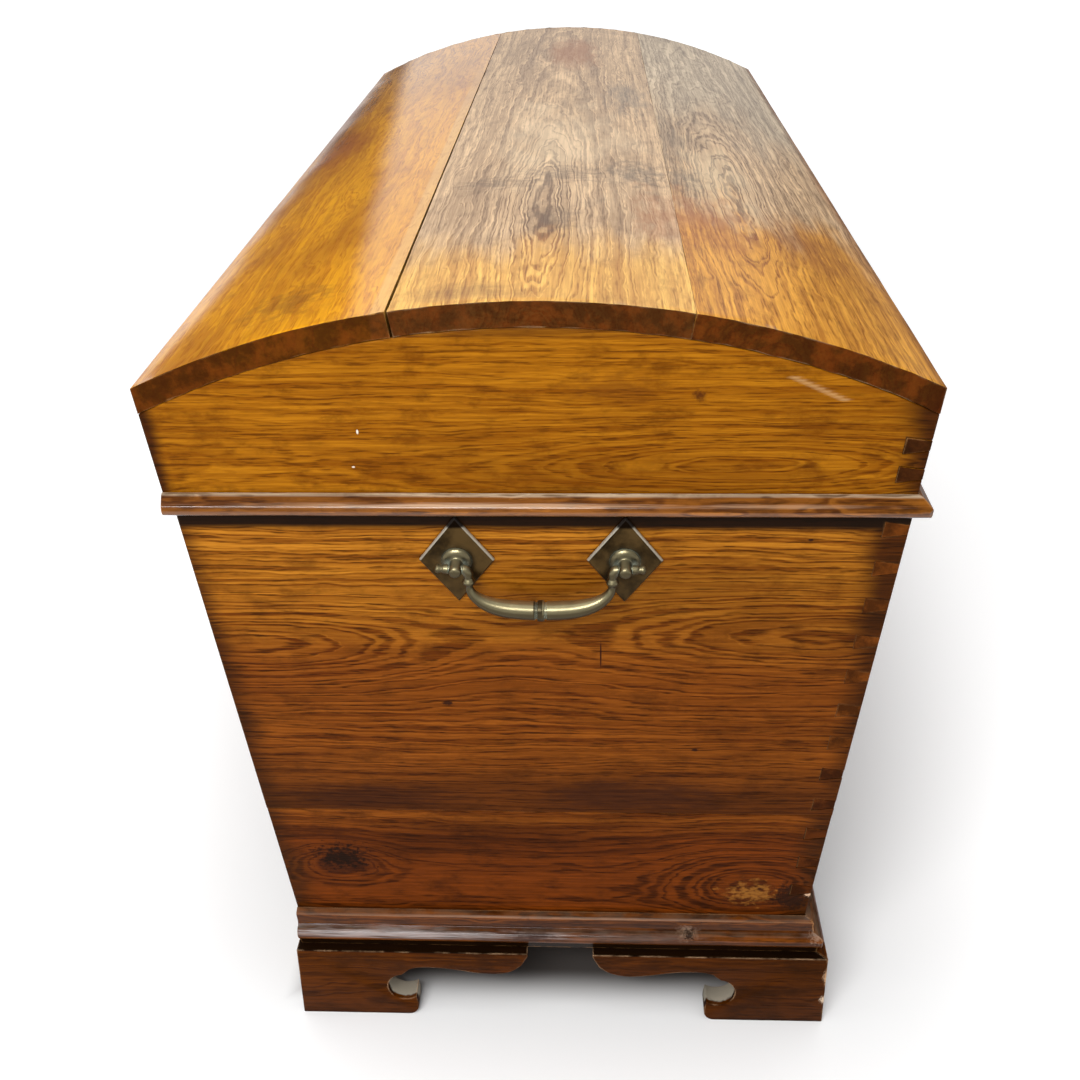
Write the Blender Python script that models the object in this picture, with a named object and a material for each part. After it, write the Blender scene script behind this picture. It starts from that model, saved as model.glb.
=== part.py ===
"""Dome top chest: a tapered oak box with a hinged coved lid, bracket feet and brass bail handles.

The chest stands on Z = 0 with its front towards -Y, its length along X and its back towards +Y.
All sizes are in metres. The outer faces lean: half depth and half length are given at the lid's
top corners and shrink steadily towards the floor.
"""

import math

import bmesh
import bpy
from mathutils import Matrix, Vector

# Overall sizes of the case
LID_LENGTH = 1.340          # end to end, at the lid's top corners
LID_DEPTH = 0.620           # front to back, at the lid's top corners
RIM_HEIGHT = 0.592          # floor to the top edge of the body
LID_SIDE = 0.108            # top edge of the body to the lid's top corners
DOME_RISE = 0.0722          # top corners to the crown of the dome
SIDE_LEAN = 0.100           # how far front and back lean out for each metre of height
END_LEAN = 0.080            # how far the ends lean out for each metre of height
BACK_SETBACK = 0.006        # body's back face behind the line of the lid's back face

# Boards
WALL = 0.020                # thickness of the body boards and the lid's rails and ends
DOME_BOARD = 0.021          # thickness of the coved lid boards
BOTTOM_BOARD = 0.020        # thickness of the bottom boards
FIT = 0.0003                # gap between pieces that touch
LID_GAP = 0.0006            # gap between the closed lid and the body's rim
DOME_STEPS = 12             # facets across each coved board

# Joints between boards
DOME_JOINT_BACK = 0.1075    # back joint of the dome, measured from the middle line
DOME_JOINT_FRONT = 0.1215   # front joint of the dome, measured from the middle line
SHRINKAGE_LEFT = 0.0024     # open back joint at the left end of the dome
SHRINKAGE_RIGHT = 0.0008    # open back joint at the right end of the dome
END_JOINT_HEIGHT = 0.255    # joint between the two boards of each end
FRONT_JOINT_HEIGHT = 0.3255  # joint between the two boards of the front
BACK_JOINT_HEIGHT = 0.290   # joint between the two boards of the back
BOTTOM_JOINT = 0.014        # joint of the bottom boards, in front of the middle line

# Dovetails of the front corners
PIN_NARROW = 0.009          # height of a pin at the front face
PIN_WIDE = 0.015            # height of a pin at the board's inner face
BODY_PIN_TOP = 0.020        # rim to the first pin's middle
BODY_PIN_PITCH = 0.0379
LID_PIN_START = 0.031       # lid's lower edge to the first pin's middle
LID_PIN_PITCH = 0.026
PIN_MARGIN = 0.012          # wood left beyond the last pin
CUT_MARGIN = 0.004          # how far cutters run past a face

# Lid moulding
LID_MOULDING_HEIGHT = 0.017
LID_MOULDING_PROJECTION = 0.0125
LID_MOULDING_DROP = 0.003   # how far the moulding hangs below the rim
LIP_CLEARANCE = 0.0010      # moulding's hanging lip to the body

# Plinth moulding and bracket feet
FOOT_HEIGHT = 0.085
PLINTH_HEIGHT = 0.035       # height of the plinth moulding
PLINTH_PROJECTION = 0.0195  # moulding beyond the body, at the torus
PLINTH_NECK = 0.015         # moulding beyond the body, under the torus
PLINTH_FILLET = 0.0055      # moulding beyond the body, at the fillet above the cove
PLINTH_COVE = 0.0100        # moulding beyond the body, at the foot of the cove
BRACKET_PROJECTION = 0.0215  # bracket boards beyond the body, at the plinth's top
BRACKET_BOARD = 0.022       # thickness of the bracket boards
BRACKET_SPACE = 0.06356     # between the two brackets of an end
TOE_LENGTH = 0.117          # outer corner to the tip of the toe
TOE_TIP = 0.016             # height of the toe's blunt tip
TOE_ROUND = 0.010           # round under the toe
SCROLL_RADIUS = 0.0165      # round notch above the toe
SCROLL_FROM_CORNER = 0.1045
ARM_HEIGHT = 0.0225         # height of the bracket's long arm above the scroll
ARM_SHOULDER = 0.0085       # top of the scroll to the arm's underside
ARM_WAVE = 0.0055           # how far the arm's underside swells below its line
ARM_TIP = 0.0035            # height of the arm's far end
BACK_FOOT_LENGTH = 0.125
BLOCK_SIZE = 0.036          # corner blocks behind the feet
BLOCK_LIFT = 0.006          # floor to the underside of the corner blocks

# Bail handles
HANDLE_DROP = 0.0495        # rim to the middle of the back plates
POST_SPACING = 0.1375
PLATE_WIDTH = 0.062
PLATE_HEIGHT = 0.084
PLATE_THICKNESS = 0.0032
PLATE_CHAMFER = 0.0030
COLLAR_RADIUS = 0.0125
COLLAR_RISE = 0.0042
POST_RADIUS = 0.0053
POST_LENGTH = 0.0225        # end face to the tip of the post
SHANK_RADIUS = 0.0030
NUT_WIDTH = 0.014
NUT_THICKNESS = 0.005
SHANK_SPARE = 0.003         # shank beyond its nut
BAIL_OUT = 0.0150           # end face to the bail's pivot axis
BAIL_DROP = 0.0395          # pivot axis to the middle of the grip
GRIP_RADIUS = 0.0078
BAIL_PIN_RADIUS = 0.0028
PIVOT_CLEARANCE = 0.0004    # bail pin to the hole in its post
FINIAL_REACH = 0.0170       # post axis to the tip of the finial
NECK_SETBACK = 0.0046       # post's inner side to the middle of the neck that hangs beside it
GRIP_RING = 0.0052          # length of the ring round the middle of the grip
GRIP_GROOVE = 0.0020        # length of the groove at each side of that ring
BAIL_SIDES = 12

# Strap hinges
HINGE_FROM_MIDDLE = 0.400
STRAP_WIDTH = 0.034
STRAP_THICKNESS = 0.003
LID_STRAP_LENGTH = 0.066
BODY_STRAP_LENGTH = 0.210
STRAP_POINT = 0.030         # length of the tapered end of a body strap
KNUCKLE_RADIUS = 0.0055
KNUCKLE_LENGTH = 0.0115     # the lid's knuckle, between the body's two
KNUCKLE_GAP = 0.0003
STRAP_SETBACK = 0.0075      # hinge axis to the strap's straight edge
HINGE_PIN_RADIUS = 0.0024
HINGE_BORE_CLEARANCE = 0.0003
PIN_HEAD_RADIUS = 0.0036
PIN_HEAD = 0.0016

# Nails and screws
NAIL_RADIUS = 0.0015
NAIL_LENGTH = 0.013
NAIL_HEAD_RADIUS = 0.0042
NAIL_HEAD = 0.0018
HEAD_SINK = 0.0002          # how far a nail's head beds into its plate
# Places of a strap's nails, as shares of half its width and of its length from the knuckle
LID_STRAP_NAILS = ((-0.56, 0.25), (0.56, 0.25), (0.0, 0.73))
BODY_STRAP_NAILS = ((-0.56, 0.11), (0.56, 0.26), (0.0, 0.51), (0.0, 0.78))

# Lock
LOCK_WIDTH = 0.104
LOCK_HEIGHT = 0.078
LOCK_DEPTH = 0.016
LOCK_PLATE = 0.003          # thickness of the lock case's walls
LOCK_DROP = 0.0015          # rim to the top of the lock case
STAPLE_SETBACK = 0.0022     # front of the lock case to the staple
STAPLE_SWING = 0.0022       # room behind the staple, which rises straight out of the leaning case
STAPLE_ROOT = 0.006         # how far the staple reaches up its plate
STAPLE_WIDTH = 0.006
STAPLE_DEPTH = 0.0092
STAPLE_REACH = 0.0185       # rim to the lower end of the staple
STAPLE_EYE_DEPTH = 0.0060
STAPLE_EYE_HEIGHT = 0.0090
STAPLE_EYE_WALL = 0.0020    # metal below the staple's eye
CATCH_WIDTH = 0.044
CATCH_HEIGHT = 0.036
CATCH_PLATE = 0.0025
BOLT_LENGTH = 0.036
BOLT_DEPTH = 0.0042
BOLT_HEIGHT = 0.0070
BOLT_CLEARANCE = 0.0008
LOCK_SHELF = 0.008          # height of the shelf under the bolt
LOCK_SCREW_INSET = 0.005    # lower screws above the lock case's lower wall
LOCK_SCREW_RADIUS = 0.0017
ESCUTCHEON_WIDTH = 0.050
ESCUTCHEON_HEIGHT = 0.070
ESCUTCHEON_PLATE = 0.0020
KEYHOLE_DROP = 0.046        # rim to the keyhole
KEYHOLE_RADIUS = 0.0042
KEYHOLE_SLOT = 0.0042
KEYHOLE_LENGTH = 0.013
ESCUTCHEON_PIN_RADIUS = 0.0010
ESCUTCHEON_PIN_LENGTH = 0.009
ESCUTCHEON_PIN_HEAD = 0.0019

ROUND_SIDES = 16
SMALL_SIDES = 8

# Values worked out from the sizes above
CORNER_HEIGHT = RIM_HEIGHT + LID_SIDE
HANDLE_HEIGHT = RIM_HEIGHT - HANDLE_DROP
DOME_RADIUS = (LID_DEPTH ** 2 / 4 + DOME_RISE ** 2) / (2 * DOME_RISE)
DOME_CENTRE = CORNER_HEIGHT + DOME_RISE - DOME_RADIUS
SIDE_STRETCH = math.sqrt(1 + SIDE_LEAN ** 2)
END_STRETCH = math.sqrt(1 + END_LEAN ** 2)
WALL_Y = WALL * SIDE_STRETCH
WALL_X = WALL * END_STRETCH
LID_BOTTOM = RIM_HEIGHT + LID_GAP
BOTTOM_TOP = FOOT_HEIGHT + FIT + BOTTOM_BOARD
WALL_BOTTOM = BOTTOM_TOP + FIT
PLINTH_TOP = FOOT_HEIGHT + FIT + PLINTH_HEIGHT
MOULDING_BOTTOM = RIM_HEIGHT - LID_MOULDING_DROP
MOULDING_TOP = MOULDING_BOTTOM + LID_MOULDING_HEIGHT


def half_length(z):
    """Half the chest's length at height z."""
    return LID_LENGTH / 2 - END_LEAN * (CORNER_HEIGHT - z)


def half_depth(z):
    """Distance from the middle line to the front face, and to the lid's back face, at height z."""
    return LID_DEPTH / 2 - SIDE_LEAN * (CORNER_HEIGHT - z)


def body_back(z):
    """Distance from the middle line to the body's back face at height z."""
    return half_depth(z) - BACK_SETBACK


HINGE_Y = half_depth(LID_BOTTOM) + KNUCKLE_RADIUS + FIT
HINGE_Z = RIM_HEIGHT + LID_GAP / 2
PLINTH_BACK = body_back(PLINTH_TOP)
BRACKET_X = half_length(PLINTH_TOP) + BRACKET_PROJECTION
BRACKET_Y = half_depth(PLINTH_TOP) + BRACKET_PROJECTION
BRACKET_LENGTH = (BRACKET_Y + PLINTH_BACK - BRACKET_SPACE) / 2
HANDLE_Y = -BACK_SETBACK / 2


# Basic shapes

def loft(rings):
    """Closed body through rings that have equal point counts, with flat ends."""
    mesh = bmesh.new()
    rows = [[mesh.verts.new(point) for point in ring] for ring in rings]
    count = len(rows[0])
    for low, high in zip(rows, rows[1:]):
        for i in range(count):
            j = (i + 1) % count
            mesh.faces.new((low[i], low[j], high[j], high[i]))
    mesh.faces.new(rows[0])
    mesh.faces.new(rows[-1])
    return mesh


def block(x, y, z):
    """Box between the low and high values of x, y and z."""
    corners = [(0, 0), (1, 0), (1, 1), (0, 1)]
    return loft([[(x[i], y[j], level) for i, j in corners] for level in z])


def board_along_x(profile, low, high):
    """Profile of (y, z) points carried between two leaning planes x = low(z) and x = high(z)."""
    return loft([[(plane(z), y, z) for y, z in profile] for plane in (low, high)])


def turned(profile, sides):
    """Body turned about X from (x, radius) points that start and end on the axis."""
    mesh = bmesh.new()
    rings = []
    for x, radius in profile[1:-1]:
        angles = [2 * math.pi * i / sides for i in range(sides)]
        rings.append([mesh.verts.new((x, radius * math.cos(a), radius * math.sin(a)))
                      for a in angles])
    for low, high in zip(rings, rings[1:]):
        for i in range(sides):
            j = (i + 1) % sides
            mesh.faces.new((low[i], low[j], high[j], high[i]))
    for tip, ring in ((profile[0], rings[0]), (profile[-1], rings[-1])):
        point = mesh.verts.new((tip[0], 0, 0))
        for i in range(sides):
            mesh.faces.new((point, ring[i], ring[(i + 1) % sides]))
    return mesh


def rod(radius, start, end, sides):
    """Plain cylinder about X from start to end."""
    return turned([(start, 0), (start, radius), (end, radius), (end, 0)], sides)


def moved(mesh, matrix):
    """The same body after a rigid move."""
    mesh.transform(matrix)
    return mesh


def joined(bodies):
    """One mesh holding several separate bodies."""
    whole = bmesh.new()
    for body in bodies:
        data = bpy.data.meshes.new("part")
        body.to_mesh(data)
        body.free()
        whole.from_mesh(data)
        bpy.data.meshes.remove(data)
    return whole


def shift(x=0.0, y=0.0, z=0.0):
    """Matrix of a plain move."""
    return Matrix.Translation((x, y, z))


# Scene objects

def clear_scene():
    """Remove every object that the scene starts with."""
    for item in list(bpy.data.objects):
        bpy.data.objects.remove(item, do_unlink=True)


def make_material(name, colour, roughness, metallic=0.0):
    """Principled material of one colour."""
    item = bpy.data.materials.new(name)
    item.use_nodes = True
    shader = item.node_tree.nodes["Principled BSDF"]
    shader.inputs["Base Color"].default_value = (*colour, 1.0)
    shader.inputs["Roughness"].default_value = roughness
    shader.inputs["Metallic"].default_value = metallic
    return item


def make_pivot(name, parent=None, location=(0, 0, 0)):
    """Empty on a joint's axis, or at the chest's own origin."""
    empty = bpy.data.objects.new(name, None)
    empty.location = location
    empty.parent = parent
    bpy.context.collection.objects.link(empty)
    return empty


def add_object(name, mesh, material, pivot, smooth=False):
    """Named object from a mesh in the chest's own coordinates, carried by its pivot."""
    if pivot.parent:
        mesh.transform(Matrix.Translation(-pivot.location))
    bmesh.ops.recalc_face_normals(mesh, faces=mesh.faces)
    data = bpy.data.meshes.new(name)
    mesh.to_mesh(data)
    mesh.free()
    if smooth:
        data.shade_smooth()
        data.set_sharp_from_angle(angle=math.radians(35))
    data.materials.append(material)
    item = bpy.data.objects.new(name, data)
    item.parent = pivot
    bpy.context.collection.objects.link(item)
    return item


def add_boolean(item, tool, operation):
    """Boolean modifier that takes a hidden tool body from an object or adds it."""
    modifier = item.modifiers.new(operation.lower(), "BOOLEAN")
    modifier.operation = operation
    modifier.solver = "EXACT"
    modifier.object = tool


def add_tool(item, mesh, operation="DIFFERENCE"):
    """Cut a body out of an object, or unite it with the object."""
    pivot = item.parent
    name = f"{item.name}_tool_{len(item.modifiers)}"
    tool = add_object(name, mesh, item.data.materials[0], pivot)
    tool.hide_render = True
    tool.display_type = "WIRE"
    add_boolean(item, tool, operation)


# Frames on the leaning faces

def end_frame(side, height, y=0.0):
    """Frame on an end face: X points outwards, Z up the face; side is 1 on the right, -1 left."""
    out = Vector((side, 0, -END_LEAN)).normalized()
    up = Vector((side * END_LEAN, 0, 1)).normalized()
    across = up.cross(out)
    rotation = Matrix((out, across, up)).transposed().to_4x4()
    return Matrix.Translation((side * half_length(height), y, height)) @ rotation


def front_frame(height, depth=0.0):
    """Frame on the front board: Y points into the chest, Z up the face, depth from the front."""
    inward = Vector((0, 1, SIDE_LEAN)).normalized()
    up = Vector((0, -SIDE_LEAN, 1)).normalized()
    rotation = Matrix((Vector((1, 0, 0)), inward, up)).transposed().to_4x4()
    return Matrix.Translation((0, -half_depth(height), height)) @ rotation @ shift(y=depth)


def back_frame(x, height, setback):
    """Frame on the back: X out of the back face, Z up the face, at a place along the chest."""
    out = Vector((0, 1, -SIDE_LEAN)).normalized()
    up = Vector((0, SIDE_LEAN, 1)).normalized()
    across = up.cross(out)
    rotation = Matrix((out, across, up)).transposed().to_4x4()
    return Matrix.Translation((x, half_depth(height) - setback, height)) @ rotation


# Dovetails

def body_pins():
    """Heights of the body's dovetail pins, from the rim down."""
    heights = []
    z = RIM_HEIGHT - BODY_PIN_TOP
    while z > WALL_BOTTOM + PIN_MARGIN + PIN_WIDE:
        heights.append(z)
        z -= BODY_PIN_PITCH
    return sorted(heights)


def lid_pins():
    """Heights of the lid's dovetail pins, from its lower edge up."""
    top = CORNER_HEIGHT - DOME_BOARD - PIN_MARGIN
    heights = []
    z = LID_BOTTOM + LID_PIN_START
    while z < top:
        heights.append(z)
        z += LID_PIN_PITCH
    return heights


def pin_half(depth):
    """Half a pin's height at a depth behind the front face."""
    return (PIN_NARROW + (PIN_WIDE - PIN_NARROW) * depth / WALL_Y) / 2


def dovetail_body(side, corners, inner, outer):
    """Wedge through a corner from (depth, z) corners, between two planes beside the end face."""
    rings = []
    for offset in (inner, outer):
        rings.append([(side * (half_length(z) + offset), -half_depth(z) + depth, z)
                      for depth, z in corners])
    return loft(rings)


def pin_cutters(side, heights):
    """Sockets that the front board's pins need in an end board."""
    front = -CUT_MARGIN
    back = WALL_Y + FIT
    bodies = []
    for z in heights:
        near = pin_half(front) + FIT
        far = pin_half(back) + FIT
        corners = [(front, z - near), (back, z - far), (back, z + far), (front, z + near)]
        bodies.append(dovetail_body(side, corners, -WALL_X - CUT_MARGIN, CUT_MARGIN))
    return bodies


def tail_cutters(side, heights, low, high):
    """Spaces between the pins at one end of a front board that runs from low to high."""
    front = -CUT_MARGIN
    back = WALL_Y + CUT_MARGIN
    bodies = []
    for below, above in zip([None] + heights, heights + [None]):
        start = (low - CUT_MARGIN,) * 2 if below is None else (
            below + pin_half(front), below + pin_half(back))
        stop = (high + CUT_MARGIN,) * 2 if above is None else (
            above - pin_half(front), above - pin_half(back))
        corners = [(front, start[0]), (back, start[1]), (back, stop[1]), (front, stop[0])]
        bodies.append(dovetail_body(side, corners, -WALL_X - FIT, CUT_MARGIN))
    return bodies


# Body of the chest

def inner_x(z):
    """Half the clear length between the end boards."""
    return half_length(z) - WALL_X - FIT


def make_front_boards(oak, chest):
    """Two front boards whose ends are cut into dovetail pins."""
    pins = body_pins()
    spans = {"front_board_lower": (WALL_BOTTOM, FRONT_JOINT_HEIGHT - FIT / 2),
             "front_board_upper": (FRONT_JOINT_HEIGHT + FIT / 2, RIM_HEIGHT)}
    boards = {}
    for name, (low, high) in spans.items():
        profile = [(-half_depth(low), low), (WALL_Y - half_depth(low), low),
                   (WALL_Y - half_depth(high), high), (-half_depth(high), high)]
        board = add_object(name, board_along_x(profile, lambda z: -half_length(z), half_length),
                           oak, chest)
        inside = [z for z in pins if low < z < high]
        cutters = tail_cutters(-1, inside, low, high) + tail_cutters(1, inside, low, high)
        add_tool(board, joined(cutters))
        boards[name] = board
    return boards


def make_back_boards(oak, chest):
    """Two back boards that stand between the end boards."""
    spans = {"back_board_lower": (WALL_BOTTOM, BACK_JOINT_HEIGHT - FIT / 2),
             "back_board_upper": (BACK_JOINT_HEIGHT + FIT / 2, RIM_HEIGHT)}
    boards = {}
    for name, (low, high) in spans.items():
        profile = [(body_back(low) - WALL_Y, low), (body_back(low), low),
                   (body_back(high), high), (body_back(high) - WALL_Y, high)]
        boards[name] = add_object(name, board_along_x(profile, lambda z: -inner_x(z), inner_x),
                                  oak, chest)
    return boards


def make_end_boards(oak, chest):
    """Two boards for each end, with sockets for the pins of the front boards."""
    pins = body_pins()
    spans = {"lower": (WALL_BOTTOM, END_JOINT_HEIGHT - FIT / 2),
             "upper": (END_JOINT_HEIGHT + FIT / 2, RIM_HEIGHT)}
    boards = {}
    for label, side in (("left", -1), ("right", 1)):
        for level, (low, high) in spans.items():
            profile = [(-half_depth(low), low), (body_back(low), low),
                       (body_back(high), high), (-half_depth(high), high)]
            mesh = board_along_x(profile, lambda z: side * (half_length(z) - WALL_X),
                                 lambda z: side * half_length(z))
            board = add_object(f"end_{label}_{level}", mesh, oak, chest)
            near = [z for z in pins if low - PIN_WIDE < z < high + PIN_WIDE]
            add_tool(board, joined(pin_cutters(side, near)))
            boards[f"{label}_{level}"] = board
    return boards


def make_bottom_boards(oak, chest):
    """Bottom boards, nailed up under the walls and hidden by the plinth moulding."""
    low = FOOT_HEIGHT + FIT
    high = BOTTOM_TOP
    rows = {"bottom_board_front": (lambda z: -half_depth(z), lambda z: -BOTTOM_JOINT - FIT / 2),
            "bottom_board_back": (lambda z: -BOTTOM_JOINT + FIT / 2, body_back)}
    for name, (front, back) in rows.items():
        profile = [(front(low), low), (back(low), low), (back(high), high), (front(high), high)]
        add_object(name, board_along_x(profile, lambda z: -half_length(z), half_length),
                   oak, chest)


# Mouldings

def arc(centre, radius, start, stop, steps):
    """Points on an arc in degrees, from start to stop."""
    points = []
    for i in range(steps + 1):
        angle = math.radians(start + (stop - start) * i / steps)
        points.append((centre[0] + radius * math.cos(angle), centre[1] + radius * math.sin(angle)))
    return points


def lid_moulding_profile():
    """Thumb moulding as (projection, z) points, from its top down the outside and up inside."""
    reach = LID_MOULDING_PROJECTION
    nose = reach * 0.36
    crown = (FIT + reach * 0.24, MOULDING_TOP - LID_MOULDING_HEIGHT * 0.06)
    shoulder = (reach * 0.55, MOULDING_TOP - LID_MOULDING_HEIGHT * 0.24)
    side = (reach * 0.86, MOULDING_TOP - LID_MOULDING_HEIGHT * 0.46)
    round_centre = (reach - nose, MOULDING_BOTTOM + nose)
    nose_points = arc(round_centre, nose, 20, -90, 6)
    lip = [(LIP_CLEARANCE, MOULDING_BOTTOM), (LIP_CLEARANCE, LID_BOTTOM + FIT),
           (FIT, LID_BOTTOM + LIP_CLEARANCE), (FIT, MOULDING_TOP)]
    return [crown, shoulder, side] + nose_points + lip


def plinth_profile():
    """Plinth moulding as (projection, z) points: ledge, fillet, cove, torus and neck."""
    low = FOOT_HEIGHT + FIT
    fillet = PLINTH_FILLET
    cove = PLINTH_COVE - fillet
    ledge = PLINTH_TOP
    cove_top = ledge - PLINTH_HEIGHT * 0.12
    cove_low = ledge - PLINTH_HEIGHT * 0.32
    torus = (cove_low - (low + PLINTH_HEIGHT * 0.27)) / 2
    torus_centre = (PLINTH_PROJECTION - torus, cove_low - torus)
    hollow = [(fillet, cove_top), (fillet + cove * 0.16, cove_top - PLINTH_HEIGHT * 0.09),
              (fillet + cove * 0.49, cove_low + PLINTH_HEIGHT * 0.04), (PLINTH_COVE, cove_low)]
    round_part = arc(torus_centre, torus, 80, -60, 8)
    top = [(FIT, ledge), (fillet * 0.82, ledge), (fillet, ledge - PLINTH_HEIGHT * 0.035)]
    neck = [(PLINTH_NECK, low + PLINTH_HEIGHT * 0.26), (PLINTH_NECK, low), (FIT, low)]
    return top + hollow + round_part + neck


def run_along_front(profile):
    """Moulding along the front, mitred at both corners."""
    rings = []
    for side in (-1, 1):
        rings.append([(side * (half_length(z) + out - FIT), -(half_depth(z) + out), z)
                      for out, z in profile])
    return loft(rings)


def run_along_end(profile, side, back):
    """Moulding along an end, mitred at the front and cut square at the back."""
    front = [(side * (half_length(z) + out), -(half_depth(z) + out), z) for out, z in profile]
    rear = [(side * (half_length(z) + out), back(z), z) for out, z in profile]
    return loft([front, rear])


def make_plinth(oak, chest):
    """Plinth moulding on the front and both ends; the back is plain."""
    profile = plinth_profile()
    add_object("plinth_front", run_along_front(profile), oak, chest)
    for label, side in (("left", -1), ("right", 1)):
        add_object(f"plinth_{label}", run_along_end(profile, side, body_back), oak, chest)


# Feet

def bracket_outline():
    """Bracket foot as (distance from the corner, z) points, counted from its outer lower corner."""
    toe_centre = (TOE_LENGTH - TOE_ROUND, TOE_ROUND)
    toe = arc(toe_centre, TOE_ROUND, -90, 0, 4) + [(TOE_LENGTH, TOE_TIP)]
    top = FOOT_HEIGHT
    arm = top - ARM_HEIGHT
    scroll_centre = (SCROLL_FROM_CORNER, arm - ARM_SHOULDER - SCROLL_RADIUS)
    scroll = arc(scroll_centre, SCROLL_RADIUS, -48, -262, 12)
    reach = BRACKET_LENGTH - SCROLL_FROM_CORNER
    wave = ((0.05, -0.18), (0.14, 0.27), (0.30, 0.22), (0.45, -0.27), (0.60, -0.85), (0.74, -1.0),
            (0.86, -0.36), (0.95, 1.18))
    ogee = [(SCROLL_FROM_CORNER + reach * along, arm + ARM_WAVE * rise) for along, rise in wave]
    end = [(BRACKET_LENGTH, top - ARM_TIP), (BRACKET_LENGTH, top), (0, top)]
    return [(0, 0)] + toe + scroll + ogee + end


def bracket(place_outer, place_inner, mitred):
    """Bracket board between its outer and inner outlines; a mitred one is cut back at its corner."""
    outline = bracket_outline()
    cut = BRACKET_BOARD if mitred else 0.0
    inner = [(max(s, cut), z) for s, z in outline]
    return loft([[place_outer(s, z) for s, z in outline], [place_inner(s, z) for s, z in inner]])


def make_feet(oak, dark, chest):
    """Bracket feet: mitred pairs at the front, side brackets with plain boards at the back."""
    thick = BRACKET_BOARD
    for label, side in (("left", -1), ("right", 1)):
        front = bracket(lambda s, z: (side * (BRACKET_X - s - FIT), -BRACKET_Y, z),
                        lambda s, z: (side * (BRACKET_X - s - FIT), thick - BRACKET_Y, z), True)
        add_object(f"foot_front_{label}_face", front, oak, chest)
        flank = bracket(lambda s, z: (side * BRACKET_X, s - BRACKET_Y, z),
                        lambda s, z: (side * (BRACKET_X - thick), s - BRACKET_Y, z), True)
        add_object(f"foot_front_{label}_side", flank, oak, chest)
        rear = bracket(lambda s, z: (side * BRACKET_X, PLINTH_BACK - s, z),
                       lambda s, z: (side * (BRACKET_X - thick), PLINTH_BACK - s, z), False)
        add_object(f"foot_back_{label}_side", rear, oak, chest)
        inside = BRACKET_X - thick - FIT
        outline = [(0, 0), (BACK_FOOT_LENGTH * 0.66, 0), (BACK_FOOT_LENGTH, FOOT_HEIGHT * 0.6),
                   (BACK_FOOT_LENGTH, FOOT_HEIGHT), (0, FOOT_HEIGHT)]
        rings = [[(side * (inside - s), y, z) for s, z in outline]
                 for y in (PLINTH_BACK - thick, PLINTH_BACK)]
        add_object(f"foot_back_{label}_plain", loft(rings), dark, chest)
    make_corner_blocks(dark, chest)


def make_corner_blocks(dark, chest):
    """Four square blocks glued behind the feet, under the bottom boards."""
    high = BRACKET_X - BRACKET_BOARD - FIT
    front = -BRACKET_Y + BRACKET_BOARD + FIT
    back = PLINTH_BACK - BRACKET_BOARD - FIT
    rows = {"front": (front, front + BLOCK_SIZE), "back": (back - BLOCK_SIZE, back)}
    for label, side in (("left", -1), ("right", 1)):
        x = sorted((side * high, side * (high - BLOCK_SIZE)))
        for row, y in rows.items():
            add_object(f"corner_block_{row}_{label}", block(x, y, (BLOCK_LIFT, FOOT_HEIGHT)),
                       dark, chest)


# Lid

def dome_point(radius, angle):
    """Point of the dome's cross-section at an angle from upright, towards the back."""
    return radius * math.sin(angle), DOME_CENTRE + radius * math.cos(angle)


def angle_at_side(radius, inset=0.0):
    """Angle at which an arc of the dome meets the leaning side, or a plane inside it."""
    offset = LID_DEPTH / 2 - SIDE_LEAN * CORNER_HEIGHT - inset + SIDE_LEAN * DOME_CENTRE
    return math.atan(SIDE_LEAN) + math.asin(offset / (radius * SIDE_STRETCH))


def dome_arc(radius, start, stop):
    """Points of an arc of the dome's cross-section."""
    return [dome_point(radius, start + (stop - start) * i / DOME_STEPS)
            for i in range(DOME_STEPS + 1)]


def make_dome_board(name, oak, pivot, outer_span, inner_span, gaps=((0, 0), (0, 0))):
    """Coved board along the lid; gaps are cut from its two edges at the left and right ends."""
    inner = DOME_RADIUS - DOME_BOARD
    rings = []
    for side, index in ((-1, 0), (1, 1)):
        low_gap = gaps[0][index]
        high_gap = gaps[1][index]
        outline = dome_arc(DOME_RADIUS, outer_span[0] + low_gap / DOME_RADIUS,
                           outer_span[1] - high_gap / DOME_RADIUS)
        outline += reversed(dome_arc(inner, inner_span[0] + low_gap / inner,
                                     inner_span[1] - high_gap / inner))
        rings.append([(side * half_length(z), y, z) for y, z in outline])
    return add_object(name, loft(rings), oak, pivot, smooth=True)


def make_dome(gold, weathered, pivot):
    """Three coved boards; the back joint has shrunk open, most of all at the left end."""
    edge_out = angle_at_side(DOME_RADIUS)
    edge_in = angle_at_side(DOME_RADIUS - DOME_BOARD)
    front = -math.asin(DOME_JOINT_FRONT / DOME_RADIUS)
    back = math.asin(DOME_JOINT_BACK / DOME_RADIUS)
    tight = (FIT / 2, FIT / 2)
    open_joint = (SHRINKAGE_LEFT / 2, SHRINKAGE_RIGHT / 2)
    make_dome_board("dome_board_front", gold, pivot, (-edge_out, front), (-edge_in, front),
                    ((0, 0), tight))
    make_dome_board("dome_board_middle", weathered, pivot, (front, back), (front, back),
                    (tight, open_joint))
    make_dome_board("dome_board_back", gold, pivot, (back, edge_out), (back, edge_in),
                    (open_joint, (0, 0)))


def rail_profile(side):
    """Rail under the edge of the dome, as (y, z) points; side is -1 in front and 1 behind."""
    seat = DOME_RADIUS - DOME_BOARD - FIT
    outer = angle_at_side(seat)
    inner = angle_at_side(seat, WALL_Y)
    top = [dome_point(seat, outer + (inner - outer) * i / 3) for i in range(4)]
    base = [(half_depth(LID_BOTTOM) - WALL_Y, LID_BOTTOM), (half_depth(LID_BOTTOM), LID_BOTTOM)]
    return [(side * y, z) for y, z in base + top]


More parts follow.
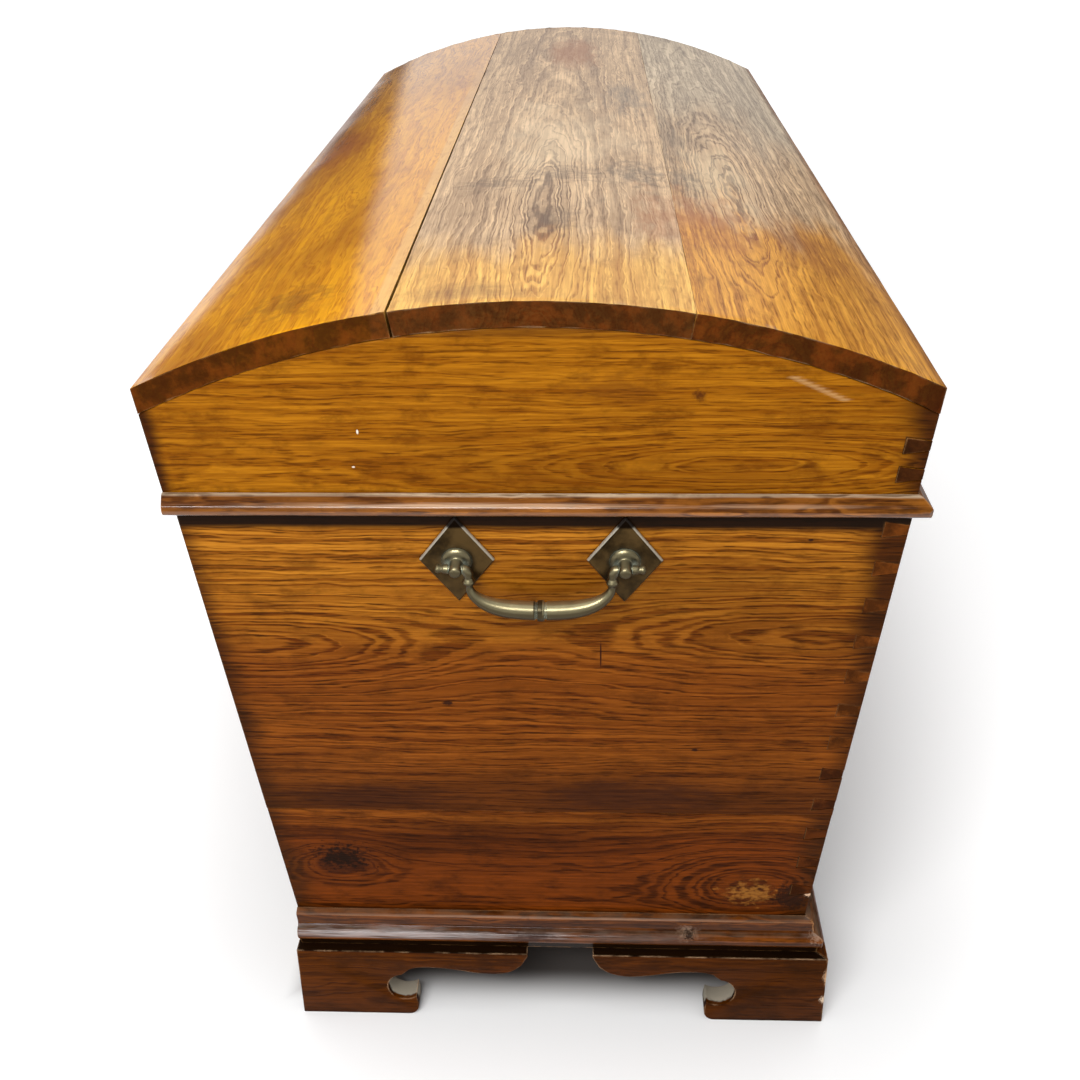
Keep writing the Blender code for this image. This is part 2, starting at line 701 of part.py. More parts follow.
def make_lid_frame(oak, pivot):
    """Rails and arched ends that carry the dome, with dovetails at the front corners."""
    pins = lid_pins()
    seat = DOME_RADIUS - DOME_BOARD - FIT
    top = CORNER_HEIGHT + DOME_RISE
    rail = add_object("lid_rail_front",
                      board_along_x(rail_profile(-1), lambda z: -half_length(z), half_length),
                      oak, pivot)
    cutters = tail_cutters(-1, pins, LID_BOTTOM, top) + tail_cutters(1, pins, LID_BOTTOM, top)
    add_tool(rail, joined(cutters))
    back = add_object("lid_rail_back",
                      board_along_x(rail_profile(1), lambda z: -inner_x(z), inner_x), oak, pivot)
    edge = angle_at_side(seat)
    arch = [(-half_depth(LID_BOTTOM), LID_BOTTOM), (half_depth(LID_BOTTOM), LID_BOTTOM)]
    arch += [dome_point(seat, edge - edge * i / DOME_STEPS) for i in range(2 * DOME_STEPS + 1)]
    for label, side in (("left", -1), ("right", 1)):
        mesh = board_along_x(arch, lambda z: side * (half_length(z) - WALL_X),
                             lambda z: side * half_length(z))
        end = add_object(f"lid_end_{label}", mesh, oak, pivot)
        add_tool(end, joined(pin_cutters(side, pins)))
    return rail, back


def make_lid_moulding(oak, pivot):
    """Moulding round the lid's lower edge, along the front and both ends."""
    profile = lid_moulding_profile()
    add_object("lid_moulding_front", run_along_front(profile), oak, pivot)
    for label, side in (("left", -1), ("right", 1)):
        add_object(f"lid_moulding_{label}", run_along_end(profile, side, half_depth), oak, pivot)


# Hinges

def strap_plate(frame, bottom, top, half_width, point=0.0):
    """Flat strap in a face frame, with an optional pointed lower end."""
    ring = [(-half_width, bottom + point), (0, bottom), (half_width, bottom + point),
            (half_width, top), (-half_width, top)]
    if point == 0:
        ring.pop(1)
    return moved(loft([[(x, y, z) for y, z in ring] for x in (FIT, FIT + STRAP_THICKNESS)]), frame)


def knuckle(x, length):
    """Barrel of a hinge around its axis, in the middle of a length along the chest."""
    return moved(rod(KNUCKLE_RADIUS, -length / 2, length / 2, ROUND_SIDES),
                 shift(x, HINGE_Y, HINGE_Z))


def hinge_arm(x, length, setback, reach):
    """Short arm from a strap to its knuckle; reach is negative for the body and positive for the lid."""
    root = HINGE_Z + reach * 1.3
    bend = HINGE_Z + reach * 0.8
    start = half_depth(root) - setback + FIT
    far = HINGE_Y - KNUCKLE_RADIUS * 0.35
    outline = [(start, root), (start + STRAP_THICKNESS, root), (far, HINGE_Z + reach * 0.7),
               (far, HINGE_Z), (HINGE_Y - KNUCKLE_RADIUS * 0.93, HINGE_Z + reach * 0.2),
               (half_depth(bend) - setback * 0.2 + FIT, bend)]
    return loft([[(x + end, y, z) for y, z in outline] for end in (-length / 2, length / 2)])


def nail(length, radius, head_radius, head):
    """Nail driven through a plate whose outer face is X = 0, with a low domed head."""
    return turned([(-length, 0), (-length + radius, radius * 0.4), (-length + 3 * radius, radius),
                   (-HEAD_SINK, radius), (-HEAD_SINK, head_radius),
                   (head * 0.45, head_radius * 0.9), (head * 0.85, head_radius * 0.5),
                   (head, 0)], SMALL_SIDES)


def nail_hole(length, radius, plate):
    """Hole in the wood under a plate for a nail driven through the plate's face X = 0."""
    return rod(radius + FIT, -length - FIT, -plate + CUT_MARGIN, SMALL_SIDES)


def make_hinges(iron, chest, lid, back_board, back_rail):
    """Two iron strap hinges on the back, each with a lid strap, a body strap and a pin."""
    side_length = (STRAP_WIDTH - KNUCKLE_LENGTH) / 2 - KNUCKLE_GAP
    side_offset = KNUCKLE_LENGTH / 2 + KNUCKLE_GAP + side_length / 2
    half = STRAP_WIDTH / 2
    end = half + KNUCKLE_GAP
    bore = HINGE_PIN_RADIUS + HINGE_BORE_CLEARANCE
    lid_holes, body_holes = [], []
    for label, x in (("left", -HINGE_FROM_MIDDLE), ("right", HINGE_FROM_MIDDLE)):
        axis = shift(x, HINGE_Y, HINGE_Z)
        lid_face = back_frame(x, HINGE_Z, 0.0)
        body_face = back_frame(x, HINGE_Z, BACK_SETBACK)
        lid_strap = add_object(f"hinge_{label}_lid_strap",
                               strap_plate(lid_face, STRAP_SETBACK, LID_STRAP_LENGTH, half),
                               iron, lid)
        add_tool(lid_strap, hinge_arm(x, KNUCKLE_LENGTH, 0.0, STRAP_SETBACK), "UNION")
        add_tool(lid_strap, knuckle(x, KNUCKLE_LENGTH), "UNION")
        body_strap = add_object(f"hinge_{label}_body_strap",
                                strap_plate(body_face, -BODY_STRAP_LENGTH, -STRAP_SETBACK, half,
                                            STRAP_POINT), iron, chest)
        for offset in (-side_offset, side_offset):
            add_tool(body_strap, hinge_arm(x + offset, side_length, BACK_SETBACK, -STRAP_SETBACK),
                     "UNION")
            add_tool(body_strap, knuckle(x + offset, side_length), "UNION")
        for strap in (lid_strap, body_strap):
            add_tool(strap, moved(rod(bore, -STRAP_WIDTH, STRAP_WIDTH, ROUND_SIDES), axis))
        pin = turned([(-end - PIN_HEAD, 0), (-end - PIN_HEAD, PIN_HEAD_RADIUS),
                      (-end, PIN_HEAD_RADIUS), (-end, HINGE_PIN_RADIUS),
                      (end, HINGE_PIN_RADIUS), (end, PIN_HEAD_RADIUS),
                      (end + PIN_HEAD, PIN_HEAD_RADIUS), (end + PIN_HEAD, 0)], ROUND_SIDES)
        add_object(f"hinge_{label}_pin", moved(pin, axis), iron, chest, smooth=True)
        drive_nails(lid_strap, lid_face, LID_STRAP_NAILS, LID_STRAP_LENGTH, lid_holes)
        drive_nails(body_strap, body_face, BODY_STRAP_NAILS, -BODY_STRAP_LENGTH, body_holes)
    add_tool(back_rail, joined(lid_holes))
    add_tool(back_board, joined(body_holes))


def drive_nails(strap, face, places, tip, holes):
    """Nails through a strap that ends at the height tip on its face, and their holes in the wood."""
    start = math.copysign(STRAP_SETBACK, tip)
    nails = []
    for across, along in places:
        spot = face @ shift(FIT + STRAP_THICKNESS, across * STRAP_WIDTH / 2,
                            start + (tip - start) * along)
        nails.append(moved(nail(NAIL_LENGTH, NAIL_RADIUS, NAIL_HEAD_RADIUS, NAIL_HEAD), spot))
        holes.append(moved(nail_hole(NAIL_LENGTH, NAIL_RADIUS, STRAP_THICKNESS), spot))
    add_tool(strap, joined(nails), "UNION")


# Lock

def lozenge(half_width, half_height):
    """Corners of a diamond as (across, up) points."""
    return [(0, -half_height), (half_width, 0), (0, half_height), (-half_width, 0)]


def diamond_plate(width, height, thickness, chamfer):
    """Diamond plate on the face X = 0 with chamfered edges, pointing out along X."""
    full = lozenge(width / 2, height / 2)
    inset = lozenge(width / 2 - chamfer * 1.25, height / 2 - chamfer * 1.65)
    rings = [[(FIT, y, z) for y, z in full], [(FIT + thickness * 0.3, y, z) for y, z in full],
             [(FIT + thickness, y, z) for y, z in inset]]
    return loft(rings)


def keyhole_cutter(start, stop):
    """Keyhole along Y: a round with a slot under it."""
    outline = arc((0, 0), KEYHOLE_RADIUS, -60, 240, 12)
    outline += [(-KEYHOLE_SLOT / 2, -KEYHOLE_LENGTH), (KEYHOLE_SLOT / 2, -KEYHOLE_LENGTH)]
    return loft([[(x, y, z) for x, z in outline] for y in (start, stop)])


def make_lock(iron, brass, chest, lid, bolt_pivot, front_board, front_rail):
    """Box lock behind the front, its bolt, the lid's catch with its staple, and the escutcheon."""
    face = front_frame(RIM_HEIGHT, WALL + FIT)
    top = -LOCK_DROP
    low = top - LOCK_HEIGHT
    half = LOCK_WIDTH / 2
    inner = half - LOCK_PLATE
    back = LOCK_DEPTH - LOCK_PLATE
    staple_front = STAPLE_SETBACK
    staple_back = staple_front + STAPLE_DEPTH
    eye_front = staple_front + (STAPLE_DEPTH - STAPLE_EYE_DEPTH) / 2
    eye_low = -STAPLE_REACH + STAPLE_EYE_WALL
    eye_high = eye_low + STAPLE_EYE_HEIGHT
    bolt_low = (eye_low + eye_high - BOLT_HEIGHT) / 2
    bolt_front = eye_front + (STAPLE_EYE_DEPTH - BOLT_DEPTH) / 2
    well = STAPLE_WIDTH / 2 + 2 * BOLT_CLEARANCE
    shelf = bolt_low - FIT
    ledge_low = shelf - LOCK_SHELF

    case = add_object("lock_case",
                      moved(block((-half, half), (0, LOCK_DEPTH), (low, top)), face), iron, chest)
    start = -CUT_MARGIN
    add_tool(case, moved(block((-inner, inner), (start, back), (shelf, top - LOCK_PLATE)), face))
    add_tool(case, moved(block((-inner, inner), (start, back), (low + LOCK_PLATE, ledge_low)),
                         face))
    add_tool(case, moved(block((-well, well), (staple_front - BOLT_CLEARANCE,
                                               staple_back + STAPLE_SWING),
                               (-STAPLE_REACH - 2 * BOLT_CLEARANCE, top + CUT_MARGIN)), face))

    bolt_start = well + BOLT_CLEARANCE
    bolt = block((bolt_start, bolt_start + BOLT_LENGTH), (bolt_front, bolt_front + BOLT_DEPTH),
                 (bolt_low, bolt_low + BOLT_HEIGHT))
    add_object("lock_bolt", moved(bolt, face), iron, bolt_pivot)

    catch_low = LID_GAP + 2 * FIT
    catch = add_object("lock_catch",
                       moved(block((-CATCH_WIDTH / 2, CATCH_WIDTH / 2), (0, CATCH_PLATE),
                                   (catch_low, CATCH_HEIGHT)), face), iron, lid)
    staple = block((-STAPLE_WIDTH / 2, STAPLE_WIDTH / 2), (staple_front, staple_back),
                   (-STAPLE_REACH, catch_low + STAPLE_ROOT))
    add_tool(catch, moved(staple, face), "UNION")
    eye = block((-STAPLE_WIDTH, STAPLE_WIDTH), (eye_front, eye_front + STAPLE_EYE_DEPTH),
                (eye_low, eye_high))
    add_tool(catch, moved(eye, face))

    into_wood = Matrix.Rotation(math.pi / 2, 4, "Z")
    length = LOCK_DEPTH + WALL * 0.55
    screws, holes = [], []
    for x in (-half * 0.8, half * 0.8):
        for z in ((shelf + ledge_low) / 2, low + LOCK_PLATE + LOCK_SCREW_INSET):
            spot = face @ shift(x, LOCK_DEPTH, z) @ into_wood
            screws.append(moved(nail(length, LOCK_SCREW_RADIUS, NAIL_HEAD_RADIUS, NAIL_HEAD),
                                spot))
            holes.append(moved(nail_hole(length, LOCK_SCREW_RADIUS, LOCK_DEPTH), spot))
    add_tool(case, joined(screws), "UNION")

    nails, rail_holes = [], []
    for x in (-CATCH_WIDTH * 0.36, CATCH_WIDTH * 0.36):
        spot = face @ shift(x, CATCH_PLATE, CATCH_HEIGHT * 0.62) @ into_wood
        nails.append(moved(nail(NAIL_LENGTH, NAIL_RADIUS, NAIL_HEAD_RADIUS, NAIL_HEAD), spot))
        rail_holes.append(moved(nail_hole(NAIL_LENGTH, NAIL_RADIUS, CATCH_PLATE), spot))
    add_tool(catch, joined(nails), "UNION")
    add_tool(front_rail, joined(rail_holes))

    keyhole = front_frame(RIM_HEIGHT) @ shift(z=-KEYHOLE_DROP)
    out_of_front = keyhole @ Matrix.Rotation(-math.pi / 2, 4, "Z")
    plate = diamond_plate(ESCUTCHEON_WIDTH, ESCUTCHEON_HEIGHT, ESCUTCHEON_PLATE,
                          ESCUTCHEON_PLATE)
    escutcheon = add_object("escutcheon", moved(plate, out_of_front), brass, chest)
    add_tool(escutcheon, moved(keyhole_cutter(-CUT_MARGIN, CUT_MARGIN), keyhole))
    pins = []
    for across, up in lozenge(ESCUTCHEON_WIDTH * 0.34, ESCUTCHEON_HEIGHT * 0.36):
        spot = out_of_front @ shift(FIT + ESCUTCHEON_PLATE, across, up)
        pins.append(moved(nail(ESCUTCHEON_PIN_LENGTH, ESCUTCHEON_PIN_RADIUS, ESCUTCHEON_PIN_HEAD,
                               ESCUTCHEON_PIN_HEAD / 2), spot))
        holes.append(moved(nail_hole(ESCUTCHEON_PIN_LENGTH, ESCUTCHEON_PIN_RADIUS,
                                     ESCUTCHEON_PLATE), spot))
    add_tool(escutcheon, joined(pins), "UNION")
    holes.append(moved(keyhole_cutter(-CUT_MARGIN, WALL + CUT_MARGIN), keyhole))
    add_tool(front_board, joined(holes))


# Handles

def post_profile():
    """Handle post turned about its own axis: shank, domed collar, shaft and rounded tip."""
    seat = FIT + PLATE_THICKNESS + FIT
    inside = -(WALL + FIT + NUT_THICKNESS + SHANK_SPARE)
    tip = POST_LENGTH
    return [(inside, 0), (inside, SHANK_RADIUS * 0.8), (inside + SHANK_RADIUS * 0.3, SHANK_RADIUS),
            (seat, SHANK_RADIUS), (seat, COLLAR_RADIUS),
            (seat + COLLAR_RISE * 0.35, COLLAR_RADIUS * 0.97),
            (seat + COLLAR_RISE * 0.75, COLLAR_RADIUS * 0.78),
            (seat + COLLAR_RISE, POST_RADIUS * 1.15), (seat + COLLAR_RISE * 1.3, POST_RADIUS),
            (tip - POST_RADIUS * 0.55, POST_RADIUS), (tip - POST_RADIUS * 0.2, POST_RADIUS * 0.82),
            (tip - POST_RADIUS * 0.03, POST_RADIUS * 0.45), (tip, 0)]


def bail_route():
    """Half of a bail as (across, drop, radius) rows, from the finial to the middle of the grip."""
    pin = BAIL_PIN_RADIUS
    post = POST_SPACING / 2
    gap = POST_RADIUS + PIVOT_CLEARANCE
    tip = post + FINIAL_REACH
    ball = (tip - post - gap) * 0.46
    finial = [(tip, 0, pin * 0.35), (tip - ball * 0.16, 0, pin * 0.85),
              (tip - ball * 0.5, 0, pin * 1.10), (tip - ball * 0.85, 0, pin * 0.85),
              (tip - ball * 1.05, 0, pin * 0.70), (tip - ball * 1.30, 0, pin * 1.25),
              (post + gap + PIVOT_CLEARANCE, 0, pin * 1.35), (post + gap, 0, pin)]
    inside = post - gap
    rows = finial + [(inside, 0, pin), (inside - PIVOT_CLEARANCE, 0, pin * 1.35)]
    # The turned neck beside the post, with its bead: shares of its setback, the drop and the grip
    neck = ((0.43, 0.010, 0.51), (0.78, 0.056, 0.54), (0.96, 0.127, 0.53), (1.0, 0.197, 0.46),
            (1.0, 0.243, 0.56), (1.0, 0.299, 0.67), (1.0, 0.354, 0.56), (1.0, 0.400, 0.44))
    rows += [(inside - NECK_SETBACK * across, BAIL_DROP * drop, GRIP_RADIUS * radius)
             for across, drop, radius in neck]
    # The swan neck that sweeps from there into the grip
    swan = ((0.014, 0.494, 0.46), (0.067, 0.603, 0.54), (0.166, 0.719, 0.64), (0.309, 0.825, 0.77),
            (0.505, 0.911, 0.88), (0.747, 0.965, 0.96), (1.0, 0.990, 1.0))
    start = inside - NECK_SETBACK
    sweep = start - inside * 0.24
    rows += [(start - sweep * across, BAIL_DROP * drop, GRIP_RADIUS * radius)
             for across, drop, radius in swan]
    ring = GRIP_RING / 2
    groove = ring + GRIP_GROOVE
    return rows + [(groove + PIVOT_CLEARANCE, BAIL_DROP, GRIP_RADIUS),
                   (groove, BAIL_DROP, GRIP_RADIUS * 0.92),
                   (ring + PIVOT_CLEARANCE, BAIL_DROP, GRIP_RADIUS * 0.92),
                   (ring, BAIL_DROP, GRIP_RADIUS * 1.10)]


def make_bail(name, brass, pivot, side):
    """Cast bail hanging from its pivot: finials, beads, swan necks and a ringed grip."""
    half = bail_route()
    rows = half + [(-across, drop, radius) for across, drop, radius in reversed(half)]
    data = bpy.data.curves.new(name, "CURVE")
    data.dimensions = "3D"
    data.bevel_depth = 1.0
    data.bevel_resolution = BAIL_SIDES // 4 - 1
    data.use_fill_caps = True
    spline = data.splines.new("POLY")
    spline.points.add(len(rows) - 1)
    for point, (across, drop, radius) in zip(spline.points, rows):
        point.co = (0, side * across, -drop, 1)
        point.radius = radius
    data.materials.append(brass)
    item = bpy.data.objects.new(name, data)
    item.parent = pivot
    bpy.context.collection.objects.link(item)


def make_handles(brass, iron, chest, end_boards):
    """Bail handle on each end: two diamond plates, two posts, a bail, and nuts inside."""
    for label, side in (("left", -1), ("right", 1)):
        middle = end_frame(side, HANDLE_HEIGHT, HANDLE_Y)
        holes = []
        for place, across in (("front", -side), ("back", side)):
            spot = middle @ shift(y=across * POST_SPACING / 2)
            plate = add_object(f"handle_{label}_plate_{place}",
                               moved(diamond_plate(PLATE_WIDTH, PLATE_HEIGHT, PLATE_THICKNESS,
                                                   PLATE_CHAMFER), spot), brass, chest)
            clear = rod(SHANK_RADIUS + FIT, -2 * WALL, PLATE_THICKNESS + CUT_MARGIN, ROUND_SIDES)
            add_tool(plate, moved(clear.copy(), spot))
            holes.append(moved(clear.copy(), spot))
            post = add_object(f"handle_{label}_post_{place}",
                              moved(turned(post_profile(), ROUND_SIDES), spot), brass, chest,
                              smooth=True)
            bore = rod(BAIL_PIN_RADIUS + PIVOT_CLEARANCE, -2 * POST_RADIUS, 2 * POST_RADIUS,
                       ROUND_SIDES)
            across_post = spot @ shift(x=BAIL_OUT) @ Matrix.Rotation(math.pi / 2, 4, "Z")
            add_tool(post, moved(bore, across_post))
            low = -(WALL + FIT + NUT_THICKNESS)
            half = NUT_WIDTH / 2
            nut = block((low, low + NUT_THICKNESS), (-half, half), (-half, half))
            nut = add_object(f"handle_{label}_nut_{place}", moved(nut, spot), iron, chest)
            add_tool(nut, moved(clear, spot))
        add_tool(end_boards[f"{label}_upper"], joined(holes))
        pivot = make_pivot(f"bail_{label}_axis", chest, middle @ Vector((BAIL_OUT, 0, 0)))
        make_bail(f"bail_{label}", brass, pivot, side)


def build_chest():
    """Build the whole chest with the middle of its footprint's box on the origin."""
    clear_scene()
    back_reach = max(LID_DEPTH / 2, HINGE_Y + KNUCKLE_RADIUS)
    moulding_reach = max(half_depth(z) + out for out, z in lid_moulding_profile())
    front_reach = max(LID_DEPTH / 2, moulding_reach)
    chest = make_pivot("chest", location=(0, (front_reach - back_reach) / 2, 0))
    lid = make_pivot("lid_hinge_axis", chest, (0, HINGE_Y, HINGE_Z))
    bolt = make_pivot("lock_bolt_axis", chest,
                      front_frame(RIM_HEIGHT, WALL + FIT) @ Vector((0, 0, -STAPLE_REACH)))

    gold = make_material("oak_golden", (0.42, 0.19, 0.05), 0.32)
    weathered = make_material("oak_weathered", (0.33, 0.17, 0.07), 0.40)
    brown = make_material("oak_brown", (0.33, 0.14, 0.04), 0.38)
    moulding = make_material("oak_moulding", (0.24, 0.09, 0.03), 0.34)
    dark = make_material("oak_unfinished", (0.30, 0.20, 0.11), 0.70)
    brass = make_material("brass_aged", (0.50, 0.40, 0.20), 0.35, 1.0)
    iron = make_material("iron_wrought", (0.09, 0.08, 0.08), 0.55, 1.0)

    front_boards = make_front_boards(brown, chest)
    back_boards = make_back_boards(brown, chest)
    end_boards = make_end_boards(brown, chest)
    make_bottom_boards(dark, chest)
    make_plinth(moulding, chest)
    make_feet(moulding, dark, chest)
    make_dome(gold, weathered, lid)
    front_rail, back_rail = make_lid_frame(gold, lid)
    make_lid_moulding(moulding, lid)
    make_hinges(iron, chest, lid, back_boards["back_board_upper"], back_rail)
    make_lock(iron, brass, chest, lid, bolt, front_boards["front_board_upper"], front_rail)
    make_handles(brass, iron, chest, end_boards)


build_chest()
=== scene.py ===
"""Looks of a dome top chest: oak boards and mouldings, aged brass handles, iron hinges and lock.

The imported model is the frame. Flat boards and metalwork are eased copies of its solids; the dome,
the mouldings, the bracket feet and the handles are modelled afresh around the same sizes.
"""
import logging
import math
from dataclasses import dataclass
from enum import Enum
from typing import Iterable, Sequence, Union

import bmesh
import bpy
from bmesh.types import BMEdge, BMesh, BMFace, BMVert
from bpy.types import ID, Material, Mesh, Node, NodeSocket, NodeTree, Object
from mathutils import Matrix, Vector, noise


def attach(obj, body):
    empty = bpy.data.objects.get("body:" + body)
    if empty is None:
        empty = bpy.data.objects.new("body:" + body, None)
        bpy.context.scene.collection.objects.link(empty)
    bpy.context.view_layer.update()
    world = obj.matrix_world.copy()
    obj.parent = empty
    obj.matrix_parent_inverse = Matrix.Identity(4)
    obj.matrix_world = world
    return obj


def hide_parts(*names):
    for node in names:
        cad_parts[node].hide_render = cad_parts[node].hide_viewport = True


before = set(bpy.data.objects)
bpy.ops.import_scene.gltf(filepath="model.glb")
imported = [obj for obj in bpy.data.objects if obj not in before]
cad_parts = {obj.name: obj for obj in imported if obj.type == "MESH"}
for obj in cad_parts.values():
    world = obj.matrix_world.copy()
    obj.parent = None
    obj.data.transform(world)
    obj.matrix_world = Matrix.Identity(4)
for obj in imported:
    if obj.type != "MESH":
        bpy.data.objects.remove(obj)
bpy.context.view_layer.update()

CORNER_ROUND = 0.006
MERGE_DISTANCE = 1e-6
FINE_DISTANCE = 1e-7
SHARP_ANGLE = 35.0
FLAT_ANGLE = math.radians(0.6)
SIDES = (("left", -1), ("right", 1))
LOG = logging.getLogger("chest")

Tone = tuple[int, int, int]
Point = tuple[float, float, float]
Feed = Union[float, Sequence[float], NodeSocket]


class Slot(Enum):
    """Material slots of the record."""

    GOLDEN = "oak_golden"
    WEATHERED = "oak_weathered"
    BROWN = "oak_brown"
    MOULDING = "oak_moulding"
    BARE = "oak_unfinished"
    BRASS = "brass_aged"
    IRON = "iron_wrought"


class Grain(Enum):
    """Which way a board's grain runs: rows give (along, across, depth) from x, y and z."""

    ALONG_CHEST = ((1, 0, 0), (0, 0, 1), (0, -1, 0))
    ALONG_END = ((0, 1, 0), (0, 0, 1), (1, 0, 0))
    UPRIGHT = ((0, 0, 1), (1, 0, 0), (0, 1, 0))
    FLAT = ((1, 0, 0), (0, 1, 0), (0, 0, 1))


def colour(tone: Tone) -> tuple[float, float, float, float]:
    """Turn a display colour of 0 to 255 into the linear colour that shaders take.

    Args:
        tone: red, green and blue as they look on a screen.

    Returns:
        Linear red, green, blue and an alpha of 1.
    """
    shares = [value / 255 for value in tone]
    linear = [s / 12.92 if s <= 0.04045 else ((s + 0.055) / 1.055) ** 2.4 for s in shares]
    return (linear[0], linear[1], linear[2], 1.0)


# Shape that the boards share

@dataclass(frozen=True)
class ChestShape:
    """Leaning faces and dome of the chest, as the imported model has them."""

    lid_length: float = 1.340
    lid_depth: float = 0.620
    corner_height: float = 0.700
    dome_rise: float = 0.0722
    side_lean: float = 0.100
    end_lean: float = 0.080
    back_setback: float = 0.006
    middle_y: float = 0.00065
    rim_height: float = 0.592
    fit: float = 0.0003

    @property
    def dome_radius(self) -> float:
        """Radius of the dome's outer face."""
        return (self.lid_depth ** 2 / 4 + self.dome_rise ** 2) / (2 * self.dome_rise)

    @property
    def dome_centre(self) -> float:
        """Height of the dome's axis."""
        return self.corner_height + self.dome_rise - self.dome_radius

    def half_length(self, z: float) -> float:
        """Half the chest's length at a height."""
        return self.lid_length / 2 - self.end_lean * (self.corner_height - z)

    def half_depth(self, z: float) -> float:
        """Distance from the middle to the front face, and to the lid's back, at a height."""
        return self.lid_depth / 2 - self.side_lean * (self.corner_height - z)

    def body_back(self, z: float) -> float:
        """Distance from the middle to the body's back face at a height."""
        return self.half_depth(z) - self.back_setback

    def end_frame(self, side: int, height: float, y: float = 0.0) -> Matrix:
        """Place a frame on an end face, with X outwards and Z up the face.

        Args:
            side: -1 for the left end, 1 for the right one.
            height: height above the floor.
            y: place along the end, from the middle.

        Returns:
            The frame's matrix.
        """
        out = Vector((side, 0, -self.end_lean)).normalized()
        up = Vector((side * self.end_lean, 0, 1)).normalized()
        place = (side * self.half_length(height), y + self.middle_y, height)
        turn = Matrix((out, up.cross(out), up)).transposed().to_4x4()
        return Matrix.Translation(place) @ turn


SHAPE = ChestShape()


# Modelling

def cut_across(mesh: BMesh, point: Sequence[float], normal: Sequence[float],
               discard: bool = False) -> None:
    """Cut a body with a plane.

    Args:
        mesh: the body, changed in place.
        point: a point of the plane.
        normal: the plane's normal, towards the side that may go.
        discard: whether that side goes and the cut is closed.
    """
    parts = mesh.verts[:] + mesh.edges[:] + mesh.faces[:]
    cut = bmesh.ops.bisect_plane(mesh, geom=parts, dist=FINE_DISTANCE, plane_co=point,
                                 plane_no=normal, clear_outer=discard)
    if discard:
        upper_edge_highlight = [item for item in cut["geom_cut"] if isinstance(item, BMEdge)]
        bmesh.ops.holes_fill(mesh, edges=upper_edge_highlight, sides=0)


def stations(start: float, stop: float, count: int) -> list[float]:
    """Return evenly spaced places strictly between two ends."""
    return [start + (stop - start) * i / count for i in range(1, count)]


def sharp_edges(mesh: BMesh, degrees: float) -> list[BMEdge]:
    """Return the edges at which a body turns by more than an angle."""
    limit = math.radians(degrees)
    return [edge for edge in mesh.edges
            if len(edge.link_faces) == 2 and edge.calc_face_angle() > limit]


def ease_edges(mesh: BMesh, width: float, segments: int = 2,
               degrees: float = SHARP_ANGLE) -> list[BMFace]:
    """Round a body's arrises.

    Args:
        mesh: the body, changed in place.
        width: distance from the arris to the start of its round.
        segments: faces across each round.
        degrees: smallest turn that counts as an arris.

    Returns:
        The faces of the rounds.
    """
    bmesh.ops.recalc_face_normals(mesh, faces=mesh.faces)
    eased = bmesh.ops.bevel(mesh, geom=sharp_edges(mesh, degrees), offset=width,
                            offset_type="OFFSET", affect="EDGES", segments=segments, profile=0.5,
                            material=-1, clamp_overlap=True)
    return eased["faces"]


def smooth_rows(rows: Sequence[Sequence[float]], steps: int) -> list[tuple[float, ...]]:
    """Run a smooth curve through rows of numbers.

    Args:
        rows: points, or rows of any equal length.
        steps: pieces between each row and the next.

    Returns:
        The rows with the in-between ones.
    """
    result = []
    last = len(rows) - 1
    for index in range(last):
        before, start, stop, after = (rows[max(0, min(last, index + shift))]
                                      for shift in (-1, 0, 1, 2))
        for step in range(steps):
            t = step / steps
            result.append(tuple(
                0.5 * (2 * b + (c - a) * t + (2 * a - 5 * b + 4 * c - d) * t * t
                       + (3 * b - a - 3 * c + d) * t * t * t)
                for a, b, c, d in zip(before, start, stop, after)))
    result.append(tuple(rows[-1]))
    return result


def arc_points(centre: tuple[float, float], radius: float, start: float, stop: float,
               steps: int) -> list[tuple[float, float]]:
    """Return points on an arc whose ends are given in degrees."""
    angles = [math.radians(start + (stop - start) * i / steps) for i in range(steps + 1)]
    return [(centre[0] + radius * math.cos(a), centre[1] + radius * math.sin(a)) for a in angles]


def extrude(mesh: BMesh, faces: Sequence[BMFace], reach: Point) -> None:
    """Extrude open faces into a closed body.

    Args:
        mesh: the body, changed in place.
        faces: the faces to extrude.
        reach: direction and length of the extrusion.
    """
    grown = bmesh.ops.extrude_face_region(mesh, geom=faces, use_keep_orig=True)
    moved = [item for item in grown["geom"] if isinstance(item, BMVert)]
    bmesh.ops.translate(mesh, verts=moved, vec=reach)
    bmesh.ops.recalc_face_normals(mesh, faces=mesh.faces)


def slab(outline: Iterable[Point], reach: Point) -> BMesh:
    """Extrude a flat outline into a body.

    Args:
        outline: the outline's corners in order.
        reach: direction and length of the extrusion.

    Returns:
        The closed body.
    """
    mesh = bmesh.new()
    face = mesh.faces.new([mesh.verts.new(point) for point in outline])
    extrude(mesh, [face], reach)
    return mesh


def turned(profile: Iterable[tuple[float, float]], steps: int, place: Matrix) -> BMesh:
    """Spin a profile about the X axis.

    Args:
        profile: (along the axis, radius) points.
        steps: faces round the axis.
        place: where the turned body goes.

    Returns:
        The closed body.
    """
    mesh = bmesh.new()
    points = [mesh.verts.new((along, 0, radius)) for along, radius in profile]
    edges = [mesh.edges.new(pair) for pair in zip(points, points[1:])]
    bmesh.ops.spin(mesh, geom=points + edges, cent=(0, 0, 0), axis=(1, 0, 0), dvec=(0, 0, 0),
                   angle=math.tau, steps=steps, use_merge=True, use_duplicate=False)
    bmesh.ops.remove_doubles(mesh, verts=mesh.verts, dist=MERGE_DISTANCE)
    bmesh.ops.recalc_face_normals(mesh, faces=mesh.faces)
    mesh.transform(place)
    return mesh


